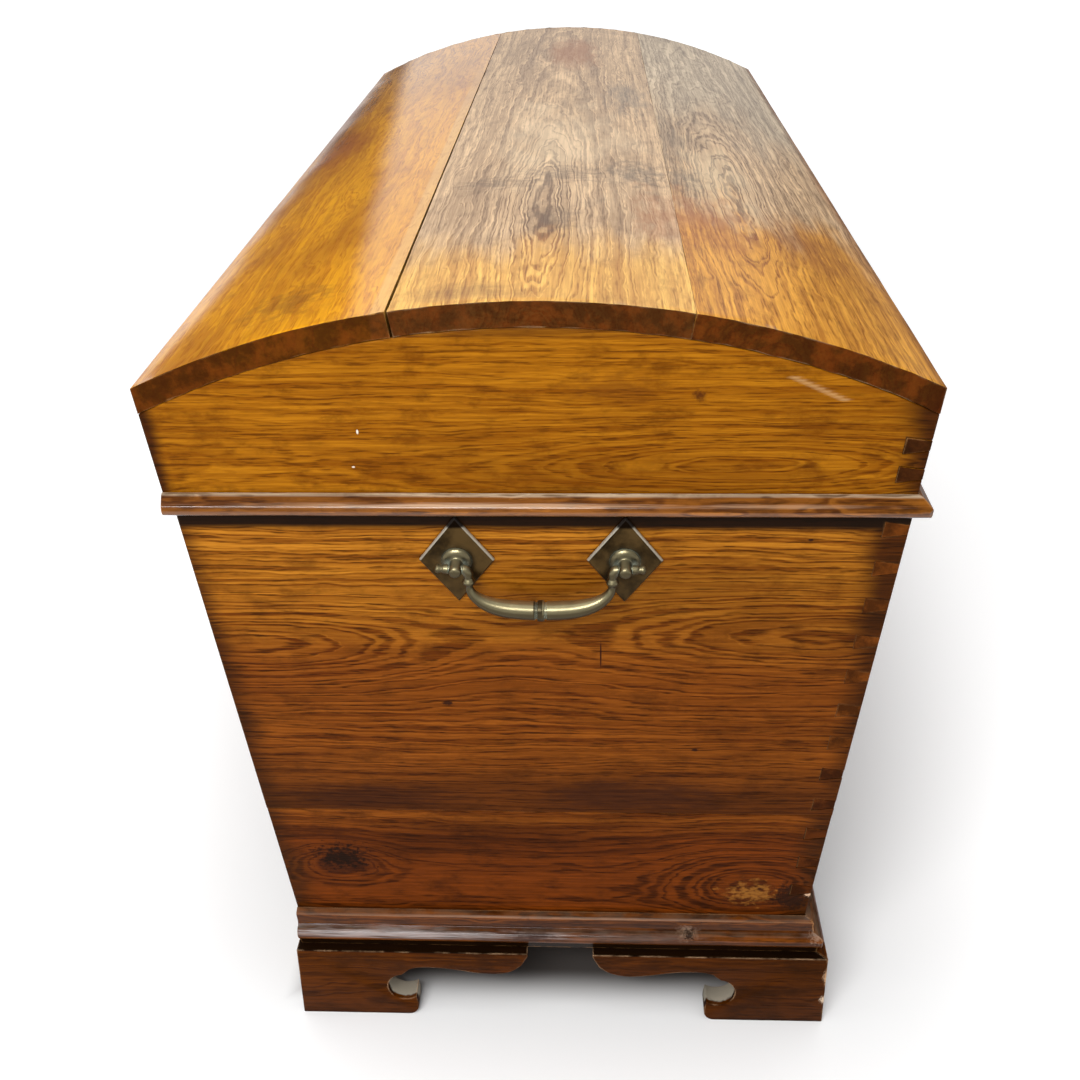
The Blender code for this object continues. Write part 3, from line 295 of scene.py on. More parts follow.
def rod(radius: float, reach: float, place: Matrix) -> BMesh:
    """Turn a rod that reaches equally far both ways from its place."""
    return turned([(-reach, 0), (-reach, radius), (reach, radius), (reach, 0)], 32, place)


def mesh_data(name: str, mesh: BMesh) -> Mesh:
    """Write a body to new data and free it."""
    data = bpy.data.meshes.new(name)
    mesh.to_mesh(data)
    mesh.free()
    return data


def linked(name: str, data: ID) -> Object:
    """Make an object of some data and link it to the scene."""
    thing = bpy.data.objects.new(name, data)
    bpy.context.scene.collection.objects.link(thing)
    return thing


def finish(name: str, mesh: BMesh, body: str, material: Material,
           nodes: Sequence[str], smooth: bool = True, degrees: float = 32.0) -> Object:
    """Make a piece from a body and give it its place, finish and CAD solids.

    Args:
        name: the piece's name.
        mesh: its body, freed here.
        body: the moving body it rides on.
        material: its finish.
        nodes: the CAD solids that it stands for.
        smooth: whether its shading is smooth up to an angle.
        degrees: that angle.

    Returns:
        The piece.
    """
    data = mesh_data(name, mesh)
    if smooth:
        data.shade_smooth()
        data.set_sharp_from_angle(angle=math.radians(degrees))
    data.materials.append(material)
    piece = linked(name, data)
    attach(piece, body)
    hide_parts(*nodes)
    LOG.info("%s: %d faces", name, len(data.polygons))
    return piece


def eased_copy(node: str, width: float, body: str, material: Material,
               segments: int = 2) -> Object:
    """Copy a CAD solid with its arrises rounded.

    Args:
        node: the solid's name.
        width: width of the rounds.
        body: the moving body it rides on.
        material: its finish.
        segments: faces across each round.

    Returns:
        The piece that replaces the solid.
    """
    mesh = bmesh.new()
    mesh.from_mesh(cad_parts[node].data)
    bmesh.ops.remove_doubles(mesh, verts=mesh.verts, dist=2 * MERGE_DISTANCE)
    bmesh.ops.dissolve_limit(mesh, angle_limit=FLAT_ANGLE, use_dissolve_boundaries=False,
                             verts=mesh.verts, edges=mesh.edges)
    for face in mesh.faces:
        face.smooth = False
    for face in ease_edges(mesh, width, segments):
        face.smooth = True
    return finish(f"{node}_eased", mesh, body, material, [node], smooth=False)


def roughen(mesh: BMesh, amount: float, length: float, seed: float,
            chosen: Iterable | None = None) -> None:
    """Move points a little along their normals, as handwork and wear leave them.

    Args:
        mesh: the body, changed in place.
        amount: the largest move.
        length: distance over which the moves change.
        seed: shifts the pattern from piece to piece.
        chosen: the points to move, or all of them.
    """
    mesh.normal_update()
    shift = Vector((seed * 3.1, seed * 7.7, seed * 5.3))
    for vert in list(chosen if chosen is not None else mesh.verts):
        vert.co += vert.normal * amount * noise.noise(vert.co / length + shift)


# Shader nodes

class NodeSheet:
    """Adds nodes to a material or a group and wires them."""

    def __init__(self, tree: NodeTree) -> None:
        """Start on a node tree."""
        self.tree = tree

    def feed(self, socket: NodeSocket, value: Feed) -> None:
        """Link a socket, or set its own value."""
        if isinstance(value, NodeSocket):
            self.tree.links.new(value, socket)
        elif isinstance(value, (int, float)) or len(value) == len(socket.default_value):
            socket.default_value = value
        else:
            socket.default_value = tuple(value)[:len(socket.default_value)]

    def feed_all(self, node: Node, feeds: dict[Union[str, int], Feed]) -> Node:
        """Feed several sockets of a node, by name or number, and return the node."""
        for key, value in feeds.items():
            self.feed(node.inputs[key], value)
        return node

    def add(self, kind: str, feeds: dict[Union[str, int], Feed] | None = None,
            **settings: object) -> Node:
        """Add a node.

        Args:
            kind: node type without its ShaderNode prefix.
            feeds: what goes into its sockets, by name or number.
            **settings: the node's own properties.

        Returns:
            The node.
        """
        node = self.tree.nodes.new(f"ShaderNode{kind}")
        for name, value in settings.items():
            setattr(node, name, value)
        return self.feed_all(node, feeds or {})

    def group(self, tree: NodeTree, feeds: dict[Union[str, int], Feed]) -> Node:
        """Place a shared group."""
        return self.feed_all(self.add("Group", node_tree=tree), feeds)

    def math(self, operation: str, *values: Feed, clamp: bool = False) -> NodeSocket:
        """Work out one number from others."""
        node = self.add("Math", dict(enumerate(values)), operation=operation, use_clamp=clamp)
        return node.outputs[0]

    def plus(self, first: Feed, second: Feed, clamp: bool = False) -> NodeSocket:
        """Add two numbers."""
        return self.math("ADD", first, second, clamp=clamp)

    def minus(self, first: Feed, second: Feed, clamp: bool = False) -> NodeSocket:
        """Take the second number from the first."""
        return self.math("SUBTRACT", first, second, clamp=clamp)

    def times(self, first: Feed, second: Feed) -> NodeSocket:
        """Multiply two numbers."""
        return self.math("MULTIPLY", first, second)

    def larger(self, first: Feed, second: Feed) -> NodeSocket:
        """Return the larger of two numbers."""
        return self.math("MAXIMUM", first, second)

    def size(self, value: Feed) -> NodeSocket:
        """Return a number without its sign."""
        return self.math("ABSOLUTE", value)

    def vector(self, operation: str, *values: Feed) -> NodeSocket:
        """Work out one vector from others."""
        return self.add("VectorMath", dict(enumerate(values)), operation=operation).outputs[0]

    def stretch(self, place: Feed, along: float, across: float) -> NodeSocket:
        """Scale a place along the grain and across it."""
        return self.vector("MULTIPLY", place, (along, across, across))

    def dot(self, first: Feed, second: Feed) -> NodeSocket:
        """Return the dot product of two vectors."""
        return self.add("VectorMath", {0: first, 1: second},
                        operation="DOT_PRODUCT").outputs["Value"]

    def length(self, value: Feed) -> NodeSocket:
        """Return a vector's length."""
        return self.add("VectorMath", {0: value}, operation="LENGTH").outputs["Value"]

    def split(self, value: Feed) -> tuple[NodeSocket, ...]:
        """Return a vector's three parts."""
        return tuple(self.add("SeparateXYZ", {0: value}).outputs)

    def join(self, x: Feed, y: Feed, z: Feed = 0.0) -> NodeSocket:
        """Make a vector of its parts."""
        return self.add("CombineXYZ", {0: x, 1: y, 2: z}).outputs[0]

    def ranged(self, value: Feed, low: Feed, high: float, start: float = 0.0,
               stop: float = 1.0) -> NodeSocket:
        """Map a range softly onto another and hold it there."""
        node = self.add("MapRange", {0: value, 1: low, 2: high, 3: start, 4: stop},
                        interpolation_type="SMOOTHSTEP")
        return node.outputs[0]

    def mix(self, share: Feed, first: Feed, second: Feed) -> NodeSocket:
        """Mix two colours."""
        return self.add("Mix", {0: share, 6: first, 7: second}, data_type="RGBA").outputs[2]

    def noise(self, place: Feed, scale: Feed, detail: float = 2.0,
              roughness: float = 0.5) -> NodeSocket:
        """Return a noise texture's value."""
        return self.add("TexNoise", {"Vector": place, "Scale": scale, "Detail": detail,
                                     "Roughness": roughness}).outputs[0]

    def deliver(self, give: Node, *values: Feed) -> NodeTree:
        """Feed a group's outputs in their order and return its tree."""
        self.feed_all(give, dict(enumerate(values)))
        return self.tree


def new_group(name: str, takes: dict[str, Feed],
              gives: dict[str, str]) -> tuple[NodeSheet, dict[str, NodeSocket], Node]:
    """Start a shared node group.

    Args:
        name: the group's name.
        takes: its inputs with their default values.
        gives: its outputs with their kinds: Float, Vector or Color.

    Returns:
        A sheet for its inside, its inputs by name and its output node.
    """
    tree = bpy.data.node_groups.new(name, "ShaderNodeTree")
    kinds = {3: "NodeSocketVector", 4: "NodeSocketColor"}
    for label, value in takes.items():
        kind = "NodeSocketFloat" if isinstance(value, (int, float)) else kinds[len(value)]
        socket = tree.interface.new_socket(name=label, in_out="INPUT", socket_type=kind)
        socket.default_value = value
    for label, kind in gives.items():
        tree.interface.new_socket(name=label, in_out="OUTPUT", socket_type=f"NodeSocket{kind}")
    outlets = tree.nodes.new("NodeGroupInput").outputs
    return (NodeSheet(tree), {label: outlets[label] for label in takes},
            tree.nodes.new("NodeGroupOutput"))


class SharedGroups:
    """Node groups that several finishes use, each built once."""

    ORIGIN = (0.0, 0.0, 0.0)
    UNIT = (1.0, 1.0, 1.0)
    WHITE = (1.0, 1.0, 1.0, 1.0)
    BLACK = (0.0, 0.0, 0.0, 1.0)

    def __init__(self) -> None:
        """Build every group."""
        self.dome_space = self._dome_space()
        self.swell = self._swell()
        self.spot = self._spot()
        self.rings = self._rings()
        self.fibre = self._fibre()
        self.oak = self._oak()
        self.wear = self._wear()
        self.grime_and_shade = self._grime_and_shade()
        self.metal = self._metal()

    def _dome_space(self) -> NodeTree:
        """Unroll the dome: place becomes (along, round the dome, out of it)."""
        sheet, take, give = new_group("dome_space", {"Vector": self.ORIGIN}, {"Vector": "Vector"})
        axis = (0.0, SHAPE.middle_y, SHAPE.dome_centre)
        along, across, up = sheet.split(sheet.vector("SUBTRACT", take["Vector"], axis))
        arc = sheet.times(sheet.math("ARCTAN2", across, up), SHAPE.dome_radius)
        radius = sheet.math("SQRT", sheet.plus(sheet.times(across, across), sheet.times(up, up)))
        return sheet.deliver(give, sheet.join(along, arc, sheet.minus(radius, SHAPE.dome_radius)))

    def _swell(self) -> NodeTree:
        """Soft hump in the grain, round which the rings bend."""
        sheet, take, give = new_group(
            "grain_swell", {"Vector": self.ORIGIN, "Centre": self.ORIGIN, "Reach": self.UNIT,
                            "Height": 0.0}, {"Swell": "Float"})
        place, centre, reach, height = take.values()
        away = sheet.vector("DIVIDE", sheet.vector("SUBTRACT", place, centre), reach)
        fall = sheet.math("EXPONENT", sheet.times(sheet.dot(away, away), -1.0))
        return sheet.deliver(give, sheet.times(fall, height))

    def _spot(self) -> NodeTree:
        """Oval mask with a ragged edge."""
        sheet, take, give = new_group(
            "ragged_spot", {"Vector": self.ORIGIN, "Centre": self.ORIGIN, "Reach": self.UNIT,
                            "Ragged": 0.3, "Soft": 0.5, "Detail": 2.2}, {"Mask": "Float"})
        place, centre, reach, ragged, soft, detail = take.values()
        away = sheet.vector("DIVIDE", sheet.vector("SUBTRACT", place, centre), reach)
        rough = sheet.noise(sheet.vector("ADD", away, centre), detail, 4.0, 0.6)
        shift = sheet.times(sheet.minus(rough, 0.5), sheet.times(ragged, 4.0))
        edge = sheet.plus(sheet.length(away), shift)
        return sheet.deliver(give, sheet.ranged(edge, sheet.minus(1.0, soft), 1.0, 1.0, 0.0))

    def _rings(self) -> NodeTree:
        """Growth rings round a wavering heart line: mask of the dark bands and a tone a ring."""
        sheet, take, give = new_group(
            "growth_rings", {"Vector": self.ORIGIN, "Seed": 0.0, "Heart Across": 0.0,
                             "Heart Depth": 0.05, "Slope": 0.0, "Swell": 0.0,
                             "Waver": 0.006, "Ring Width": 0.005},
            {"Band": "Float", "Ring Tone": "Float"})
        place, seed, middle, below, slope, swell, waver, width = take.values()
        seeded = sheet.vector("ADD", sheet.stretch(place, 1.0, 4.0), sheet.join(
            sheet.times(seed, 7.31), sheet.times(seed, 3.17), seed))
        wide = sheet.split(sheet.noise(seeded, 4.5, 1.0).node.outputs["Color"])
        fine = sheet.split(sheet.noise(seeded, 21.0).node.outputs["Color"])
        parts = sheet.split(place)
        heart = []
        for axis, centre in ((1, middle), (2, below)):
            bend = sheet.plus(sheet.minus(wide[axis], 0.5),
                              sheet.times(sheet.minus(fine[axis], 0.5), 0.42))
            heart.append(sheet.plus(sheet.minus(parts[axis], centre),
                                    sheet.times(bend, sheet.times(waver, 2.0))))
        depth = sheet.plus(heart[1], sheet.minus(sheet.times(parts[0], slope), swell))
        count = sheet.math("DIVIDE", sheet.length(sheet.join(heart[0], depth)), width)
        uneven = sheet.add("TexNoise", {"W": sheet.plus(count, seed), "Scale": 0.55,
                                        "Detail": 1.0}, noise_dimensions="1D")
        count = sheet.plus(count, sheet.times(uneven.outputs[0], 2.4))
        ragged = sheet.noise(sheet.vector("ADD", sheet.stretch(place, 26.0, 230.0), seed), 1.0,
                             3.0, 0.6)
        count = sheet.plus(count, sheet.times(ragged, 0.75))
        share = sheet.math("FRACT", count)
        band = sheet.times(sheet.ranged(share, 0.30, 0.64),
                           sheet.ranged(share, 0.78, 1.0, 1.0, 0.0))
        ring = sheet.add("TexWhiteNoise", {"W": sheet.math("FLOOR", count)},
                         noise_dimensions="1D")
        return sheet.deliver(give, band, ring.outputs[0])

    def _fibre(self) -> NodeTree:
        """Fine fibres, open pores and flecks, drawn out along the grain."""
        sheet, take, give = new_group("oak_fibre", {"Vector": self.ORIGIN, "Seed": 0.0},
                                      {"Fibre": "Float", "Pores": "Float", "Flecks": "Float"})
        place, seed = take.values()
        seeded = sheet.vector("ADD", place, sheet.join(seed, sheet.times(seed, 0.37),
                                                       sheet.times(seed, 0.61)))
        threads = sheet.noise(sheet.stretch(seeded, 9.0, 330.0), 1.0, 4.0, 0.65)
        pores = sheet.noise(sheet.stretch(seeded, 48.0, 640.0), 1.0)
        flecks = sheet.noise(sheet.stretch(seeded, 26.0, 150.0), 1.0, 4.0, 0.6)
        return sheet.deliver(give, threads, sheet.ranged(pores, 0.50, 0.64),
                             sheet.ranged(flecks, 0.57, 0.70))

    def _oak(self) -> NodeTree:
        """Oak from its rings, fibres, clouds and end grain: colour, roughness and height."""
        sheet, take, give = new_group(
            "oak_surface",
            {"Vector": self.ORIGIN, "Facing": self.ORIGIN, "Seed": 0.0, "Heart Across": 0.0,
             "Heart Depth": 0.05, "Slope": 0.0, "Swell": 0.0, "Waver": 0.006,
             "Ring Width": 0.005, "Contrast": 0.8, "Fibre": 0.5, "Pores": 0.5, "Cloud": 0.4,
             "Mottle": 0.4, "Light": self.WHITE, "Dark": self.WHITE, "Deep": self.WHITE,
             "Cut": self.WHITE, "Sheen": 0.35},
            {"Color": "Color", "Roughness": "Float", "Height": "Float", "End": "Float"})
        place, seed = take["Vector"], take["Seed"]
        rings = sheet.group(self.rings, {label: take[label] for label in (
            "Vector", "Seed", "Heart Across", "Heart Depth", "Slope", "Swell", "Waver",
            "Ring Width")}).outputs
        fibre = sheet.group(self.fibre, {"Vector": place, "Seed": seed}).outputs
        band = sheet.times(rings["Band"], sheet.ranged(fibre["Fibre"], 0.40, 0.60, 1.0, 0.58))
        band = sheet.times(band, take["Contrast"])
        tint = sheet.mix(band, take["Light"], take["Dark"])
        ring_tone = sheet.times(sheet.ranged(rings["Ring Tone"], 0.45, 1.0), 0.35)
        tint = sheet.mix(ring_tone, tint, take["Dark"])
        patches = {}
        for label, along, across, detail, rough, low in (("Cloud", 2.6, 9.0, 4.0, 0.6, 0.42),
                                                         ("Mottle", 26.0, 44.0, 5.0, 0.65, 0.48)):
            patches[label] = sheet.noise(
                sheet.vector("ADD", sheet.stretch(place, along, across), seed), 1.0, detail, rough)
            shade = sheet.times(sheet.ranged(patches[label], low, 0.72), take[label])
            tint = sheet.mix(shade, tint, take["Deep"])
        lines = sheet.ranged(fibre["Fibre"], 0.38, 0.66, 1.0, 0.0)
        tint = sheet.mix(sheet.times(lines, take["Fibre"]), tint, take["Dark"])
        spots = sheet.plus(fibre["Pores"], sheet.times(fibre["Flecks"], 0.7), clamp=True)
        spots = sheet.times(spots, sheet.times(take["Pores"], sheet.ranged(band, -0.4, 0.8)))
        tint = sheet.mix(spots, tint, take["Deep"])
        end = sheet.ranged(sheet.size(sheet.split(take["Facing"])[0]), 0.55, 0.85)
        saw_marks = sheet.times(sheet.ranged(patches["Mottle"], 0.35, 0.60), 0.65)
        cut_tone = sheet.mix(saw_marks, take["Cut"], self.BLACK)
        tint = sheet.mix(sheet.times(end, 0.97), tint, cut_tone)
        dull = sheet.plus(take["Sheen"], sheet.times(spots, 0.18))
        dull = sheet.plus(dull, sheet.times(patches["Cloud"], 0.14))
        dull = sheet.plus(dull, sheet.times(end, 0.15), clamp=True)
        height = sheet.minus(sheet.times(fibre["Fibre"], 0.5), sheet.times(spots, 0.6))
        height = sheet.minus(height, sheet.times(band, 0.25))
        return sheet.deliver(give, tint, dull, height, end)

    def _wear(self) -> NodeTree:
        """Rubbed arrises: a mask where the surface turns."""
        sheet, take, give = new_group("edge_wear", {"Vector": self.ORIGIN, "Width": 0.002,
                                                    "Scale": 60.0}, {"Mask": "Float"})
        place, width, scale = take.values()
        around = sheet.add("Bevel", {"Radius": width}, samples=4)
        turn = sheet.dot(around.outputs[0], sheet.add("NewGeometry").outputs["Normal"])
        bend = sheet.ranged(turn, 0.80, 0.995, 1.0, 0.0)
        uneven = sheet.ranged(sheet.noise(place, scale, 3.0), 0.40, 0.62)
        return sheet.deliver(give, sheet.times(bend, uneven))

    def _grime_and_shade(self) -> NodeTree:
        """Mask of sheltered corners, found by occlusion, and of dust on ledges; on oak the corners
        take dirt and painted shade, on metal a deposit.
        """
        sheet, take, give = new_group("corner_grime_and_shade", {"Vector": self.ORIGIN, "Distance": 0.02},
                                      {"Corners": "Float", "Ledges": "Float"})
        shelter = sheet.add("AmbientOcclusion", {"Distance": take["Distance"]}, samples=4)
        closed = sheet.ranged(shelter.outputs["AO"], 0.25, 0.85, 1.0, 0.0)
        up = sheet.ranged(sheet.split(sheet.add("NewGeometry").outputs["Normal"])[2], 0.75, 0.98)
        uneven = sheet.ranged(sheet.noise(take["Vector"], 30.0, 4.0, 0.65), 0.30, 0.62)
        corners = sheet.times(closed, sheet.plus(0.55, sheet.times(uneven, 0.45)))
        return sheet.deliver(give, corners, sheet.times(up, uneven))

    def _metal(self) -> NodeTree:
        """Aged metal: patches as a mask, fine scratches and pits as a height."""
        sheet, take, give = new_group("aged_metal", {"Vector": self.ORIGIN, "Scale": 40.0},
                                      {"Patches": "Float", "Height": "Float"})
        place, scale = take.values()
        patches = sheet.ranged(sheet.noise(place, scale, 5.0, 0.6), 0.38, 0.66)
        scratches = sheet.noise(sheet.vector("MULTIPLY", place, (120.0, 900.0, 420.0)), 1.0, 3.0)
        pits = sheet.noise(place, 420.0, 3.0)
        height = sheet.plus(sheet.times(pits, 0.6), sheet.times(scratches, 0.4))
        return sheet.deliver(give, patches, height)


GROUPS = SharedGroups()


# Finishes

ANY_DEPTH = 9.0
FACING_IN = (0.55, 0.75)
OAK_ARRIS = {"Width": 0.0020, "Scale": 55.0}
OAK_CORNER = 0.012
OAK_RELIEF = 0.0006
METAL_ARRIS = {"Width": 0.0014, "Scale": 160.0}
METAL_RELIEF = 0.0003
LID_SHADE_EDGE = 0.003
# Dark tone of sheltered corners on oak: dirt and painted shade.
CORNER_DIRT_AND_SHADE = (24, 12, 5)
HOUSE_DUST = (138, 120, 100)
# Pale tone of the painted highlight on upper edges.
PAINTED_EDGE_HIGHLIGHT = (214, 204, 184)
LID_SHADE = (26, 17, 9)


@dataclass(frozen=True)
class Palette:
    """Colours of one oak finish: light wood, dark bands and the deepest tone."""

    light: Tone
    dark: Tone
    deep: Tone

    def over(self, sheet: NodeSheet, share: Feed, tints: dict[str, Feed]) -> dict[str, Feed]:
        """Mix this palette into the tints that the oak group takes, and return them."""
        return {label: sheet.mix(share, tints[label], tint)
                for label, tint in self.tints().items()}

    def tints(self) -> dict[str, Feed]:
        """Return the colours under the names that the oak group gives them."""
        return {"Light": colour(self.light), "Dark": colour(self.dark),
                "Deep": colour(self.deep)}


LINING = Palette((150, 112, 72), (118, 83, 50), (84, 57, 34))


@dataclass(frozen=True)
class Swell:
    """Hump of the grain at (along, across), with its reach and its height."""

    centre: tuple[float, float]
    reach: tuple[float, float]
    height: float

    def rise(self, sheet: NodeSheet, grain: NodeSocket) -> NodeSocket:
        """Return how far the hump lifts the rings."""
        return sheet.group(GROUPS.swell, {"Vector": grain, "Centre": (*self.centre, 0.0),
                                          "Reach": (*self.reach, ANY_DEPTH),
                                          "Height": self.height}).outputs[0]


@dataclass(frozen=True)
class Stain:
    """Spot of another colour on a face, at a place of the chest."""

    centre: Point
    reach: Point
    tone: Tone
    strength: float = 0.8
    ragged: float = 0.25
    soft: float = 0.5
    detail: float = 2.2

    def lay(self, sheet: NodeSheet, place: NodeSocket, tint: Feed, seen: Feed) -> NodeSocket:
        """Lay the stain over a tint where the face is seen from outside."""
        mask = sheet.group(GROUPS.spot, {
            "Vector": place, "Centre": self.centre, "Reach": self.reach,
            "Ragged": self.ragged, "Soft": self.soft, "Detail": self.detail}).outputs[0]
        return sheet.mix(sheet.times(sheet.times(mask, self.strength), seen), tint,
                         colour(self.tone))


@dataclass(frozen=True)
class Fade:
    """Second palette that takes over between two places, across a ragged border."""

    palette: Palette
    start: Point
    stop: Point
    ragged: float = 0.25
    scale: float = 9.0
    gloss: float = 1.0

    def share(self, sheet: NodeSheet, place: NodeSocket, grain: NodeSocket) -> NodeSocket:
        """Return how far the second palette has taken over."""
        way = Vector(self.stop) - Vector(self.start)
        along = sheet.dot(sheet.vector("SUBTRACT", place, self.start),
                          tuple(way / way.length_squared))
        rough = sheet.noise(sheet.stretch(grain, 0.45, 2.2), self.scale, 4.0, 0.6)
        shift = sheet.times(sheet.minus(rough, 0.5), self.ragged * 4.0)
        return sheet.ranged(sheet.plus(along, shift), 0.0, 1.0)


@dataclass(frozen=True)
class OakFinish:
    """Finish of one oak board: how its grain lies, its colours, marks and gloss."""

    name: str
    grain: Grain
    palette: Palette
    middle: Point = (0.0, 0.0, 0.0)
    heart: tuple[float, float] = (0.0, 0.05)
    slope: float = 0.0
    waver: float = 0.006
    ring: float = 0.005
    contrast: float = 0.75
    bold: float = 0.0
    fibre: float = 0.45
    pores: float = 0.6
    cloud: float = 0.45
    mottle: float = 0.45
    swells: tuple[Swell, ...] = ()
    stains: tuple[Stain, ...] = ()
    fades: tuple[Fade, ...] = ()
    seed: float = 0.0
    sheen: float = 0.36
    specular: float = 0.03
    coat: float = 0.02
    coat_roughness: float = 0.16
    unrolled: bool = False
    cut: Tone = (58, 27, 7)
    wear: Tone = (190, 136, 82)
    worn: float = 0.5
    # Strength of the dark in sheltered corners: dirt and painted shade.
    grime_and_shade: float = 0.75
    dust: float = 0.0
    bump: float = 0.35
    inside: Point | None = None

    def _grain_space(self, sheet: NodeSheet, place: NodeSocket) -> NodeSocket:
        """Turn a place of the chest into the board's (along, across, depth)."""
        if self.unrolled:
            return sheet.group(GROUPS.dome_space, {0: place}).outputs[0]
        turn = Matrix(self.grain.value)
        return sheet.add("Mapping", {"Vector": place, "Rotation": tuple(turn.to_euler()),
                                     "Location": tuple(-(turn @ Vector(self.middle)))}).outputs[0]

    def _wood(self, sheet: NodeSheet, place: NodeSocket, normal: NodeSocket,
              lined: Feed) -> tuple[bpy.types.NodeOutputs, Feed]:
        """Place the oak group with this board's grain and palettes.

        Args:
            sheet: the material's nodes.
            place: places of the chest.
            normal: the surface's own normal.
            lined: 1 where the board faces the inside of the chest.

        Returns:
            The oak group's outputs and the gloss that the fades leave.
        """
        grain = self._grain_space(sheet, place)
        turn = Matrix(self.grain.value).to_euler()
        facing = sheet.add("Mapping", {"Vector": normal, "Rotation": tuple(turn)},
                           vector_type="VECTOR").outputs[0]
        swell: Feed = 0.0
        for hump in self.swells:
            swell = sheet.plus(swell, hump.rise(sheet, grain))
        contrast: Feed = self.contrast
        if self.bold > 0:
            contrast = sheet.plus(contrast, sheet.times(sheet.size(swell), self.bold),
                                  clamp=True)
        gloss: Feed = 1.0
        tints = self.palette.tints()
        for fade in self.fades:
            share = fade.share(sheet, place, grain)
            tints = fade.palette.over(sheet, share, tints)
            if fade.gloss < 1.0:
                gloss = sheet.times(gloss, sheet.minus(1.0, sheet.times(share,
                                                                        1.0 - fade.gloss)))
        if self.inside:
            tints = LINING.over(sheet, lined, tints)
        oak = sheet.group(GROUPS.oak, {
            "Vector": grain, "Facing": facing, "Seed": self.seed,
            "Heart Across": self.heart[0], "Heart Depth": self.heart[1], "Slope": self.slope,
            "Swell": swell, "Waver": self.waver, "Ring Width": self.ring,
            "Contrast": contrast, "Fibre": self.fibre, "Pores": self.pores,
            "Cloud": self.cloud, "Mottle": self.mottle, "Cut": colour(self.cut),
            "Sheen": self.sheen, **tints})
        return oak.outputs, gloss

    def build(self) -> Material:
        """Build the finish.

        Returns:
            The material.
        """
        material, sheet, surface = new_material(self.name, self.palette.light)
        texture = sheet.add("TexCoord").outputs
        place = texture["Object"]
        lined: Feed = 0.0
        if self.inside:
            lined = sheet.ranged(sheet.dot(texture["Normal"], self.inside), *FACING_IN)
        seen = sheet.minus(1.0, lined)
        oak, gloss = self._wood(sheet, place, texture["Normal"], lined)
        tint = oak["Color"]
        for stain in self.stains:
            tint = stain.lay(sheet, place, tint, seen)
        edges = sheet.group(GROUPS.wear, {"Vector": place, **OAK_ARRIS})
        tint = sheet.mix(sheet.times(edges.outputs[0], self.worn), tint, colour(self.wear))
        # Sheltered corners turn dark from an occlusion mask: dirt and painted shade.
        dirt_and_shade = sheet.group(GROUPS.grime_and_shade, {"Vector": place, "Distance": OAK_CORNER}).outputs
        corners = sheet.times(dirt_and_shade["Corners"], self.grime_and_shade)
        tint = sheet.mix(corners, tint, colour(CORNER_DIRT_AND_SHADE))
        dull = sheet.plus(oak["Roughness"], sheet.times(corners, 0.3))
        bare = sheet.larger(corners, oak["End"])
        gloss = sheet.times(sheet.times(gloss, seen),
                            sheet.times(sheet.minus(1.0, bare), self.coat))
        if self.dust > 0:
            dust = sheet.times(dirt_and_shade["Ledges"], self.dust)
            tint = sheet.mix(dust, tint, colour(HOUSE_DUST))
            dull = sheet.plus(dull, sheet.times(dust, 0.4), clamp=True)
        bump = sheet.add("Bump", {"Strength": self.bump, "Distance": OAK_RELIEF,
                                  "Height": oak["Height"]})
        sheet.feed_all(surface, {
            "Base Color": tint, "Roughness": dull, "Coat Weight": gloss,
            "Coat Roughness": self.coat_roughness, "Specular IOR Level": self.specular,
            "Normal": bump.outputs[0]})
        return material


def new_material(name: str, shown: Tone) -> tuple[Material, NodeSheet, Node]:
    """Start a material.

    Args:
        name: the material's name.
        shown: its colour in a plain view.

    Returns:
        The material, a sheet for its nodes and its Principled shader.
    """
    material = bpy.data.materials.new(name)
    material.use_nodes = True
    material.diffuse_color = colour(shown)
    tree = material.node_tree
    return material, NodeSheet(tree), tree.nodes["Principled BSDF"]


